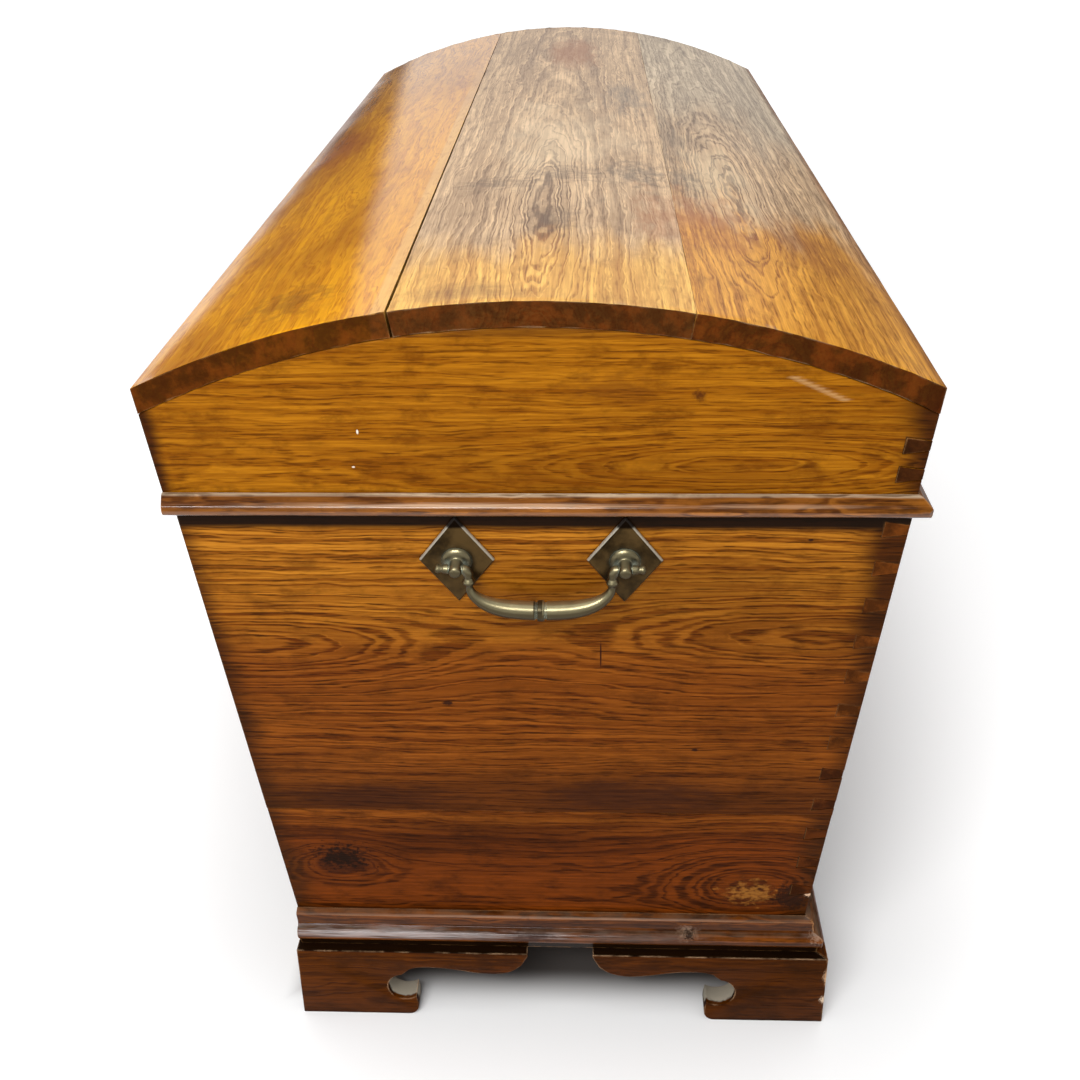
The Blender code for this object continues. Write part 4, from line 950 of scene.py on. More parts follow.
@dataclass(frozen=True)
class MetalFinish:
    """Finish of aged metal: bare colour, patina, corner deposit and gloss, and where set, painted
    shade underneath, a painted highlight on upper edges and a painted shadow under the lid.
    """

    name: str
    bare: Tone
    patina: Tone
    deposit: Tone
    scale: float = 45.0
    patina_share: float = 0.6
    roughness: float = 0.30
    metallic: float = 1.0
    deposit_reach: float = 0.006
    underside_shade: float = 0.0
    ring_half: float = 0.0
    upper_edge_highlight: float = 0.0
    shade_above: float = 0.0
    bump: float = 0.25

    def build(self) -> Material:
        """Build the finish.

        Returns:
            The material.
        """
        material, sheet, surface = new_material(self.name, self.bare)
        texture = sheet.add("TexCoord").outputs
        place = texture["Object"]
        aged = sheet.group(GROUPS.metal, {"Vector": place, "Scale": self.scale}).outputs
        worn = sheet.group(GROUPS.wear, {"Vector": place, **METAL_ARRIS}).outputs[0]
        dirt_and_shade = sheet.group(GROUPS.grime_and_shade, {"Vector": place,
                                          "Distance": self.deposit_reach}).outputs["Corners"]
        patina = sheet.minus(sheet.times(aged["Patches"], self.patina_share),
                             sheet.times(worn, 0.8), clamp=True)
        dark = colour(self.patina)
        tint = sheet.mix(patina, colour(self.bare), dark)
        _, sideways, facing = sheet.split(texture["Normal"])
        _, across, height = sheet.split(place)
        # Patina colour over the underside and flanks of the bail: heavier patina there, and painted
        # shade.
        if self.underside_shade > 0:
            below = sheet.ranged(facing, 0.02, 0.66, self.underside_shade, 0.0)
            shade_beside = sheet.ranged(sheet.size(sideways), 0.35, 0.90, 0.0, self.underside_shade)
            tint = sheet.mix(sheet.larger(below, shade_beside), tint, dark)
        if self.ring_half > 0:
            ring = sheet.ranged(sheet.size(across), self.ring_half * 0.85, self.ring_half,
                                0.85, 0.0)
            tint = sheet.mix(ring, tint, dark)
        tint = sheet.mix(dirt_and_shade, tint, colour(self.deposit))
        dull = sheet.plus(self.roughness, sheet.times(patina, 0.22))
        dull = sheet.plus(dull, sheet.times(dirt_and_shade, 0.35), clamp=True)
        solid = sheet.minus(self.metallic, sheet.times(dirt_and_shade, 0.75), clamp=True)
        # Painted highlight: pale colour on rubbed edges that face upwards, where light from above
        # falls; partly rubbed brass.
        if self.upper_edge_highlight > 0:
            lit = sheet.ranged(worn, 0.0, 0.6, 0.75, 1.0)
            upper_edge_highlight = sheet.times(sheet.ranged(facing, 0.10, 0.35), sheet.times(lit, self.upper_edge_highlight))
            tint = sheet.mix(upper_edge_highlight, tint, colour(PAINTED_EDGE_HIGHLIGHT))
            solid = sheet.minus(solid, sheet.times(upper_edge_highlight, 0.8), clamp=True)
        # Painted shadow: the plate's tip turns dark just under the lid moulding.
        if self.shade_above > 0:
            band = sheet.ranged(height, self.shade_above - LID_SHADE_EDGE, self.shade_above)
            tint = sheet.mix(band, tint, colour(LID_SHADE))
            dull = sheet.plus(dull, sheet.times(band, 0.5), clamp=True)
        bump = sheet.add("Bump", {"Strength": self.bump, "Distance": METAL_RELIEF,
                                  "Height": aged["Height"]})
        sheet.feed_all(surface, {"Base Color": tint, "Roughness": dull, "Metallic": solid,
                                 "Normal": bump.outputs[0]})
        return material


# Lid

@dataclass
class Lid:
    """Dome of three coved boards on arched ends and rails, with its moulding."""

    board: float = 0.021
    joint_back: float = 0.1075
    joint_front: float = 0.1215
    shrinkage: tuple[float, float] = (0.0024, 0.0008)
    spare_angle: float = 0.01
    steps: int = 60
    overlong: float = 0.02
    end_cuts: tuple[float, ...] = (0.0245, 0.029, 0.036, 0.05)
    inner_margin: float = 0.06
    inner_parts: int = 30
    arris: float = 0.0012
    ripple: tuple[float, float] = (0.00035, 0.06)
    end_wear: tuple[float, float] = (0.0009, 0.012)
    end_band: float = 0.0014
    frame_arris: float = 0.0011
    moulding_height: float = 0.017
    moulding_projection: float = 0.0125
    moulding_drop: float = 0.003
    lip_clearance: float = 0.0010
    lid_gap: float = 0.0006

    def _coved(self, start: float, stop: float) -> BMesh:
        """Spin and extrude an overlong coved board.

        Args:
            start: angle of its front face from upright, towards the back.
            stop: angle of its back face.

        Returns:
            The board, cut across where its ends and its length have to bend.
        """
        mesh = bmesh.new()
        far = SHAPE.lid_length / 2 + self.overlong
        centre = Vector((0, SHAPE.middle_y, SHAPE.dome_centre))
        spoke = [mesh.verts.new(centre + Vector((-far, radius * math.sin(start),
                                                 radius * math.cos(start))))
                 for radius in (SHAPE.dome_radius - self.board, SHAPE.dome_radius)]
        edge = mesh.edges.new(spoke)
        bmesh.ops.spin(mesh, geom=spoke + [edge], cent=centre, axis=(1, 0, 0), dvec=(0, 0, 0),
                       angle=start - stop, steps=self.steps, use_duplicate=False)
        extrude(mesh, mesh.faces[:], (2 * far, 0, 0))
        inner = far - self.inner_margin
        near = [far - depth for depth in self.end_cuts]
        for x in stations(-inner, inner, self.inner_parts) + near + [-x for x in near]:
            cut_across(mesh, (x, 0, 0), (1, 0, 0))
        return mesh

    def _joint(self, mesh: BMesh, angle: float, gaps: tuple[float, float], above: bool) -> None:
        """Trim a board at a joint, with a gap that changes from the left end to the right one.

        Args:
            mesh: the board, changed in place.
            angle: the joint's angle from upright, towards the back.
            gaps: width of the joint at the left and right ends.
            above: whether the board lies at greater angles than the joint.
        """
        across = Vector((0, math.cos(angle), -math.sin(angle)))
        radial = Vector((0, math.sin(angle), math.cos(angle)))
        sign = 1 if above else -1
        tilt = (gaps[1] - gaps[0]) / (2 * SHAPE.lid_length)
        normal = across - Vector((sign * tilt, 0, 0))
        point = (Vector((0, SHAPE.middle_y, SHAPE.dome_centre)) + radial * SHAPE.dome_radius
                 + across * sign * (gaps[0] + gaps[1]) / 4)
        cut_across(mesh, point, -normal if above else normal, discard=True)

    def build_boards(self, finishes: dict[str, Material]) -> None:
        """Build the three coved boards.

        Args:
            finishes: material of each board by its CAD name.
        """
        back = math.asin(self.joint_back / SHAPE.dome_radius)
        front = -math.asin(self.joint_front / SHAPE.dome_radius)
        beyond = math.asin(SHAPE.lid_depth / 2 / SHAPE.dome_radius) + 2 * self.spare_angle
        tight = (SHAPE.fit, SHAPE.fit)
        height = SHAPE.corner_height
        rows = {"front": (-beyond, front, Slot.GOLDEN), "middle": (front, back, Slot.WEATHERED),
                "back": (back, beyond, Slot.GOLDEN)}
        for seed, (label, (start, stop, slot)) in enumerate(rows.items()):
            mesh = self._coved(max(-beyond, start - self.spare_angle),
                               min(beyond, stop + self.spare_angle))
            if label != "back":
                self._joint(mesh, stop, tight if label == "front" else self.shrinkage, False)
            if label != "front":
                self._joint(mesh, start, tight if label == "middle" else self.shrinkage, True)
            for side in (-1, 1):
                cut_across(mesh, (side * SHAPE.lid_length / 2, 0, height),
                           (side, 0, -SHAPE.end_lean), discard=True)
                cut_across(mesh, (0, SHAPE.middle_y + side * SHAPE.lid_depth / 2, height),
                           (0, side, -SHAPE.side_lean), discard=True)
            ease_edges(mesh, self.arris, 3)
            roughen(mesh, *self.ripple, seed)
            ends = [vert for vert in mesh.verts
                    if abs(vert.co.x) > SHAPE.half_length(vert.co.z) - self.end_band]
            roughen(mesh, *self.end_wear, seed + 5.0, ends)
            finish(f"dome_{label}", mesh, "lid", finishes[f"dome_board_{label}"],
                   [f"dome_board_{label}"])

    def moulding_profile(self) -> list[tuple[float, float]]:
        """Draw the thumb moulding.

        Returns:
            (projection, z) points.
        """
        reach, height = self.moulding_projection, self.moulding_height
        low = SHAPE.rim_height - self.moulding_drop
        top = low + height
        nose = reach * 0.36
        bottom = SHAPE.rim_height + self.lid_gap
        slope = smooth_rows([(SHAPE.fit + reach * 0.24, top - height * 0.06),
                             (reach * 0.55, top - height * 0.24),
                             (reach * 0.86, top - height * 0.46)], 5)
        round_part = arc_points((reach - nose, low + nose), nose, 20, -90, 12)
        lip = [(self.lip_clearance, low), (self.lip_clearance, bottom + SHAPE.fit),
               (SHAPE.fit, bottom + self.lip_clearance), (SHAPE.fit, top)]
        return slope + round_part + lip

    def build_moulding(self, finishes: dict[str, Material]) -> None:
        """Build the moulding round the lid's lower edge."""
        build_mouldings("lid_moulding", self.moulding_profile(), "lid", 0.0, finishes)

    def build_frame(self, finishes: dict[str, Material]) -> None:
        """Ease the arched ends and the rails under the dome."""
        for node in ("lid_end_left", "lid_end_right", "lid_rail_front", "lid_rail_back"):
            eased_copy(node, self.frame_arris, "lid", finishes[node])


MOULDING_MARGIN = 0.05
MOULDING_RIPPLE = (0.00028, 0.035)
FRONT_PARTS, END_PARTS = 70, 34


def build_mouldings(name: str, profile: list[tuple[float, float]], body: str, setback: float,
                    finishes: dict[str, Material]) -> None:
    """Run a moulding along the front and both ends, mitred at the front corners.

    Args:
        name: first part of the pieces' names, as the CAD solids have it.
        profile: (projection, z) points.
        body: the moving body it rides on.
        setback: how far its back ends stand behind the line of the lid's back face.
        finishes: material of each length by its CAD name.
    """
    far = SHAPE.lid_length / 2 + MOULDING_MARGIN
    deep = SHAPE.lid_depth / 2 + MOULDING_MARGIN
    height = SHAPE.corner_height
    corner_y = SHAPE.middle_y - SHAPE.lid_depth / 2
    mitre_lean = SHAPE.side_lean - SHAPE.end_lean
    reach = max(out for out, _ in profile) - CORNER_ROUND
    level = profile[0][1]

    def blunt(run: BMesh, side: int) -> None:
        """Round the outermost point of the mitre with three cuts."""
        for degrees in (22.5, 45.0, 67.5):
            along, across = math.cos(math.radians(degrees)), math.sin(math.radians(degrees))
            cut_across(run, (side * (SHAPE.half_length(level) + reach + along * CORNER_ROUND),
                             SHAPE.middle_y - SHAPE.half_depth(level) - reach
                             - across * CORNER_ROUND, level),
                       (side * along, -across,
                        -along * SHAPE.end_lean - across * SHAPE.side_lean), discard=True)

    outline = [(-far, SHAPE.middle_y - SHAPE.half_depth(z) - out, z) for out, z in profile]
    front = slab(outline, (2 * far, 0, 0))
    for x in stations(-far, far, FRONT_PARTS):
        cut_across(front, (x, 0, 0), (1, 0, 0))
    for side in (-1, 1):
        cut_across(front, (side * (SHAPE.lid_length / 2 - SHAPE.fit), corner_y, height),
                   (side, 1, mitre_lean), discard=True)
        blunt(front, side)
    roughen(front, *MOULDING_RIPPLE, 2.0)
    finish(f"{name}_front_run", front, body, finishes[f"{name}_front"],
           [f"{name}_front"])
    for label, side in SIDES:
        outline = [(side * (SHAPE.half_length(z) + out), -deep, z) for out, z in profile]
        run = slab(outline, (0, 2 * deep, 0))
        for y in stations(-deep, deep, END_PARTS):
            cut_across(run, (0, y, 0), (0, 1, 0))
        cut_across(run, (side * SHAPE.lid_length / 2, corner_y, height),
                   (-side, -1, -mitre_lean), discard=True)
        cut_across(run, (0, SHAPE.middle_y + SHAPE.lid_depth / 2 - setback, height),
                   (0, 1, -SHAPE.side_lean), discard=True)
        blunt(run, side)
        roughen(run, *MOULDING_RIPPLE, 3.0 + side)
        finish(f"{name}_{label}_run", run, body, finishes[f"{name}_{label}"],
               [f"{name}_{label}"])


# Case

@dataclass
class Case:
    """Boards of the body with their plinth moulding and bracket feet."""

    foot_height: float = 0.085
    plinth_height: float = 0.035
    plinth_projection: float = 0.0195
    plinth_neck: float = 0.015
    plinth_fillet: float = 0.0078
    plinth_cove: float = 0.0112
    bracket_projection: float = 0.0215
    bracket_board: float = 0.022
    bracket_length: float = 0.228
    toe_length: float = 0.117
    toe_tip: float = 0.016
    toe_round: float = 0.010
    scroll_radius: float = 0.0165
    scroll_from_corner: float = 0.1045
    arm_height: float = 0.0225
    arm_shoulder: float = 0.0085
    arm_wave: float = 0.0055
    arm_tip: float = 0.0035
    wall_arris: float = 0.0009
    plain_arris: float = 0.0012
    block_arris: float = 0.0015
    foot_arris: float = 0.0010
    foot_wear: tuple[float, float] = (0.0004, 0.02)

    @property
    def plinth_top(self) -> float:
        """Height of the plinth moulding's ledge."""
        return self.foot_height + SHAPE.fit + self.plinth_height

    def build_boards(self, finishes: dict[str, Material]) -> None:
        """Ease the boards of the body, its bottom and its corner blocks."""
        walls = [f"{face}_{level}" for face in ("front_board", "back_board", "end_left",
                                                "end_right") for level in ("upper", "lower")]
        rows = [(walls, self.wall_arris, Slot.BROWN),
                (["bottom_board_front", "bottom_board_back"], self.plain_arris, Slot.BARE),
                ([f"corner_block_{row}_{side}" for row in ("front", "back")
                  for side, _ in SIDES], self.block_arris, Slot.BARE)]
        for nodes, arris, slot in rows:
            for node in nodes:
                eased_copy(node, arris, "case", finishes[node])

    def plinth_profile(self) -> list[tuple[float, float]]:
        """Draw the plinth moulding: ledge, fillet, cove, torus and neck.

        Returns:
            (projection, z) points.
        """
        low, ledge = self.foot_height + SHAPE.fit, self.plinth_top
        fillet, height = self.plinth_fillet, self.plinth_height
        cove = self.plinth_cove - fillet
        cove_top, cove_low = ledge - height * 0.17, ledge - height * 0.40
        torus = (cove_low - (low + height * 0.19)) / 2
        top = [(SHAPE.fit, ledge), (fillet * 0.70, ledge - height * 0.035),
               (fillet * 0.96, ledge - height * 0.07), (fillet, ledge - height * 0.10)]
        hollow = smooth_rows([(fillet, cove_top), (fillet + cove * 0.16, cove_top - height * 0.09),
                              (fillet + cove * 0.49, cove_low + height * 0.04),
                              (self.plinth_cove, cove_low)], 4)
        round_part = arc_points((self.plinth_projection - torus, cove_low - torus), torus,
                                80, -60, 18)
        neck = [(self.plinth_neck, low + height * 0.18), (self.plinth_neck, low),
                (SHAPE.fit, low)]
        return top + hollow + round_part + neck

    def build_plinth(self, finishes: dict[str, Material]) -> None:
        """Build the plinth moulding on the front and both ends."""
        build_mouldings("plinth", self.plinth_profile(), "case", SHAPE.back_setback, finishes)

    def bracket_outline(self) -> list[tuple[float, float]]:
        """Draw a bracket foot: toe, scroll, ogee arm and tip.

        Returns:
            (distance from the corner, z) points.
        """
        top = self.foot_height
        arm = top - self.arm_height
        toe = arc_points((self.toe_length - self.toe_round, self.toe_round), self.toe_round,
                         -90, 0, 8)
        scroll = arc_points((self.scroll_from_corner,
                             arm - self.arm_shoulder - self.scroll_radius),
                            self.scroll_radius, -48, -262, 28)
        reach = self.bracket_length - self.scroll_from_corner
        wave = ((0.05, -0.18), (0.14, 0.27), (0.30, 0.22), (0.45, -0.27), (0.60, -0.85),
                (0.74, -1.0), (0.86, -0.36), (0.95, 1.18))
        ogee = [(self.scroll_from_corner + reach * along, arm + self.arm_wave * rise)
                for along, rise in wave]
        end = [(self.bracket_length, top - self.arm_tip), (self.bracket_length, top), (0.0, top)]
        return ([(0.0, 0.0)] + toe + [(self.toe_length, self.toe_tip)] + scroll
                + smooth_rows(ogee, 4) + end)

    def build_feet(self, finishes: dict[str, Material]) -> None:
        """Build the bracket boards and ease the plain ones behind.

        Args:
            finishes: material of each board by its CAD name.
        """
        outline = self.bracket_outline()
        thick = self.bracket_board
        half_x = SHAPE.half_length(self.plinth_top) + self.bracket_projection
        front_y = SHAPE.middle_y - SHAPE.half_depth(self.plinth_top) - self.bracket_projection
        back_y = SHAPE.middle_y + SHAPE.body_back(self.plinth_top)
        for label, side in SIDES:
            corner = (side * half_x, front_y, 0)
            face_line = [(side * (half_x - s), front_y, z) for s, z in outline]
            side_line = [(side * half_x, front_y + s, z) for s, z in outline]
            rear_line = [(side * half_x, back_y - s, z) for s, z in outline]
            face = slab(face_line, (0, thick, 0))
            cut_across(face, (side * (half_x - SHAPE.fit), front_y, 0), (side, 1, 0),
                       discard=True)
            flank = slab(side_line, (-side * thick, 0, 0))
            cut_across(flank, corner, (-side, -1, 0), discard=True)
            rear = slab(rear_line, (-side * thick, 0, 0))
            rows = {f"foot_front_{label}_face": face, f"foot_front_{label}_side": flank,
                    f"foot_back_{label}_side": rear}
            for seed, (node, mesh) in enumerate(rows.items()):
                ease_edges(mesh, self.foot_arris)
                roughen(mesh, *self.foot_wear, seed + 10.0 * side)
                finish(f"{node}_cut", mesh, "case", finishes[node], [node])
            node = f"foot_back_{label}_plain"
            eased_copy(node, self.plain_arris, "case", finishes[node])


# Metalwork

def carved(mesh: BMesh, cutter: BMesh) -> BMesh:
    """Take one body out of another.

    Args:
        mesh: the body, freed here.
        cutter: what goes, freed here.

    Returns:
        The carved body.
    """
    pair = [linked("carving", mesh_data("carving", body)) for body in (mesh, cutter)]
    modifier = pair[0].modifiers.new("carve", "BOOLEAN")
    modifier.operation, modifier.solver, modifier.object = "DIFFERENCE", "EXACT", pair[1]
    result = bmesh.new()
    result.from_object(pair[0], bpy.context.evaluated_depsgraph_get())
    for item in pair:
        data = item.data
        bpy.data.objects.remove(item)
        bpy.data.meshes.remove(data)
    return result


@dataclass
class BailHandle:
    """Bail handle on one end: plates, turned posts, the bail and the nuts inside."""

    side: int
    height: float = 0.5425
    post_spacing: float = 0.1375
    plate_size: tuple[float, float] = (0.062, 0.084)
    plate_thickness: float = 0.0032
    plate_chamfer: float = 0.0012
    collar_radius: float = 0.0125
    collar_rise: float = 0.0042
    post_radius: float = 0.0053
    post_length: float = 0.0225
    shank_radius: float = 0.0030
    shank_inside: float = 0.0283
    bail_out: float = 0.0150
    bail_drop: float = 0.0395
    grip_radius: float = 0.0078
    pin_radius: float = 0.0028
    clearance: float = 0.0004
    finial_reach: float = 0.0170
    neck_setback: float = 0.0046
    grip_ring: float = 0.0052
    grip_groove: float = 0.0020
    plate_arris: float = 0.00025
    nut_arris: float = 0.0008

    @property
    def label(self) -> str:
        """Name of the handle's end."""
        return "left" if self.side < 0 else "right"

    @property
    def middle(self) -> Matrix:
        """Frame at the middle of the back plates."""
        return SHAPE.end_frame(self.side, self.height, -SHAPE.back_setback / 2)

    def post_profile(self) -> list[tuple[float, float]]:
        """Shank, domed collar, shaft and rounded tip as (out, radius) points."""
        seat = SHAPE.fit + self.plate_thickness + SHAPE.fit
        rise, wide, thin, tip = (self.collar_rise, self.collar_radius, self.post_radius,
                                 self.post_length)
        dome = smooth_rows([(seat + rise * 0.35, wide * 0.97), (seat + rise * 0.75, wide * 0.78),
                            (seat + rise, thin * 1.15), (seat + rise * 1.3, thin)], 4)
        head = smooth_rows([(tip - thin * 0.55, thin), (tip - thin * 0.2, thin * 0.82),
                            (tip - thin * 0.03, thin * 0.45), (tip, 0.0)], 4)
        inside = -self.shank_inside
        return [(inside, 0.0), (inside, self.shank_radius * 0.8),
                (inside + self.shank_radius * 0.3, self.shank_radius), (seat, self.shank_radius),
                (seat, wide)] + dome + head

    def bail_rows(self) -> list[tuple[float, float, float]]:
        """List half of the bail: finial, pin, neck, swan bend and ringed grip.

        Returns:
            (across, drop, radius) rows from the finial to the middle of the grip.
        """
        pin, grip, drop = self.pin_radius, self.grip_radius, self.bail_drop
        post = self.post_spacing / 2
        gap = self.post_radius + self.clearance
        tip = post + self.finial_reach
        ball = (tip - post - gap) * 0.46
        knob = ((0.0, 0.15), (0.06, 0.70), (0.22, 1.08), (0.5, 1.28), (0.85, 1.12),
                (1.15, 1.02), (1.40, 1.30))
        finial = smooth_rows([*((tip - ball * along, 0, pin * thick) for along, thick in knob),
                              (post + gap + self.clearance, 0, pin * 1.45)], 4)
        inside = post - gap
        rows = finial + [(post + gap, 0, pin), (inside, 0, pin),
                         (inside - self.clearance, 0, pin * 1.35)]
        neck = ((0.43, 0.010, 0.51), (0.78, 0.056, 0.54), (0.96, 0.127, 0.53),
                (1.0, 0.197, 0.46), (1.0, 0.243, 0.56), (1.0, 0.299, 0.67), (1.0, 0.354, 0.56),
                (1.0, 0.400, 0.44))
        sweep = [(inside - self.neck_setback * across, drop * fall, grip * radius)
                 for across, fall, radius in neck]
        swan = ((0.014, 0.494, 0.46), (0.067, 0.603, 0.54), (0.166, 0.719, 0.64),
                (0.309, 0.825, 0.77), (0.505, 0.911, 0.88), (0.747, 0.965, 0.96),
                (1.0, 0.990, 1.0))
        start = inside - self.neck_setback
        length = start - inside * 0.24
        sweep += [(start - length * across, drop * fall, grip * radius)
                  for across, fall, radius in swan]
        ring = self.grip_ring / 2
        groove = ring + self.grip_groove
        step = self.clearance
        return rows + smooth_rows(sweep, 4) + [
            (groove + step, drop, grip), (groove, drop, grip * 0.90),
            (ring + step, drop, grip * 0.90), (ring, drop, grip * 1.08),
            (ring * 0.45, drop, grip * 1.12)]

    def build_plate(self, place: str, spot: Matrix, finish_of_plate: Material) -> None:
        """Build a diamond back plate with a narrow filed chamfer and its hole.

        Args:
            place: front or back.
            spot: frame at the plate's middle on the end's face.
            finish_of_plate: the plate's finish.
        """
        wide, tall = (size / 2 for size in self.plate_size)
        corners = ((wide, 0), (0, tall), (-wide, 0), (0, -tall))
        mesh = slab([(SHAPE.fit, *corner) for corner in corners], (self.plate_thickness, 0, 0))
        outer = [edge for edge in mesh.edges
                 if min(vert.co.x for vert in edge.verts) > self.plate_thickness / 2]
        bmesh.ops.bevel(mesh, geom=outer, offset=self.plate_chamfer, offset_type="OFFSET",
                        affect="EDGES", segments=1, profile=0.5, material=-1)
        ease_edges(mesh, self.plate_arris, degrees=20.0)
        bmesh.ops.transform(mesh, matrix=spot, verts=mesh.verts)
        plate = carved(mesh, rod(self.shank_radius + SHAPE.fit, 2 * self.plate_thickness, spot))
        node = f"handle_{self.label}_plate_{place}"
        finish(f"{node}_filed", plate, "case", finish_of_plate, [node], degrees=18)

    def build_bail(self, brass: Material) -> None:
        """Build the bail as a swept tube that changes its thickness.

        Args:
            brass: the bail's finish.
        """
        half = self.bail_rows()
        rows = half + [(-across, drop, radius) for across, drop, radius in reversed(half)]
        pivot = self.middle @ Vector((self.bail_out, 0, 0))
        data = bpy.data.curves.new("bail_path", "CURVE")
        data.dimensions, data.bevel_depth, data.bevel_resolution = "3D", 1.0, 7
        data.use_fill_caps = True
        spline = data.splines.new("POLY")
        spline.points.add(len(rows) - 1)
        for point, (across, drop, radius) in zip(spline.points, rows):
            point.co = (*(pivot + Vector((0, self.side * across, -drop))), 1)
            point.radius = radius
        path = linked("bail_path", data)
        swept = path.evaluated_get(bpy.context.evaluated_depsgraph_get()).to_mesh()
        mesh = bmesh.new()
        mesh.from_mesh(swept)
        bpy.data.objects.remove(path)
        bpy.data.curves.remove(data)
        bmesh.ops.remove_doubles(mesh, verts=mesh.verts, dist=FINE_DISTANCE)
        bmesh.ops.recalc_face_normals(mesh, faces=mesh.faces)
        node = f"bail_{self.label}"
        finish(f"{node}_cast", mesh, node, brass, [node], degrees=50)

    def build(self, brass: Material, plate: Material, iron: Material) -> None:
        """Build the whole handle.

        Args:
            brass: finish of the posts and the bail.
            plate: finish of the back plates.
            iron: finish of the nuts.
        """
        for place, across in (("front", -self.side), ("back", self.side)):
            spot = self.middle @ Matrix.Translation((0, across * self.post_spacing / 2, 0))
            self.build_plate(place, spot, plate)
            eased_copy(f"handle_{self.label}_nut_{place}", self.nut_arris, "case",
                       iron)
            node = f"handle_{self.label}_post_{place}"
            across_post = (spot @ Matrix.Translation((self.bail_out, 0, 0))
                           @ Matrix.Rotation(math.pi / 2, 4, "Z"))
            post = carved(turned(self.post_profile(), 40, spot),
                          rod(self.pin_radius + self.clearance, 2 * self.post_radius,
                              across_post))
            finish(f"{node}_turned", post, "case", brass, [node], degrees=40)
        self.build_bail(brass)


@dataclass
class Ironwork:
    """Strap hinges on the back, and the lock with its bolt, catch and escutcheon."""

    arris: float = 0.0004

    def build(self, iron: Material, brass: Material) -> None:
        """Ease the hinges and the lock.

        Args:
            iron: finish of the hinges and the lock.
            brass: finish of the escutcheon.
        """
        for side, _ in SIDES:
            for part, body in (("body_strap", "case"), ("pin", "case"), ("lid_strap", "lid")):
                eased_copy(f"hinge_{side}_{part}", self.arris, body, iron)
        for node, body in (("lock_case", "case"), ("lock_catch", "lid"),
                           ("lock_bolt", "lock_bolt")):
            eased_copy(node, self.arris, body, iron)
        eased_copy("escutcheon", self.arris, "case", brass)


# Studio

@dataclass(frozen=True)
class Lamp:
    """Soft rectangular lamp, which glossy surfaces may mirror or not."""

    name: str
    place: Point
    aim: Point
    size: tuple[float, float]
    power: float
    mirrored: bool

    def hang(self) -> None:
        """Hang the lamp in its place."""
        data = bpy.data.lights.new(self.name, "AREA")
        data.shape, data.energy = "RECTANGLE", self.power
        data.size, data.size_y = self.size
        lamp = linked(self.name, data)
        lamp.location = self.place
        lamp.visible_camera, lamp.visible_glossy = False, self.mirrored
        way = Vector(self.aim) - Vector(self.place)
        lamp.rotation_euler = way.to_track_quat("-Z", "Y").to_euler()


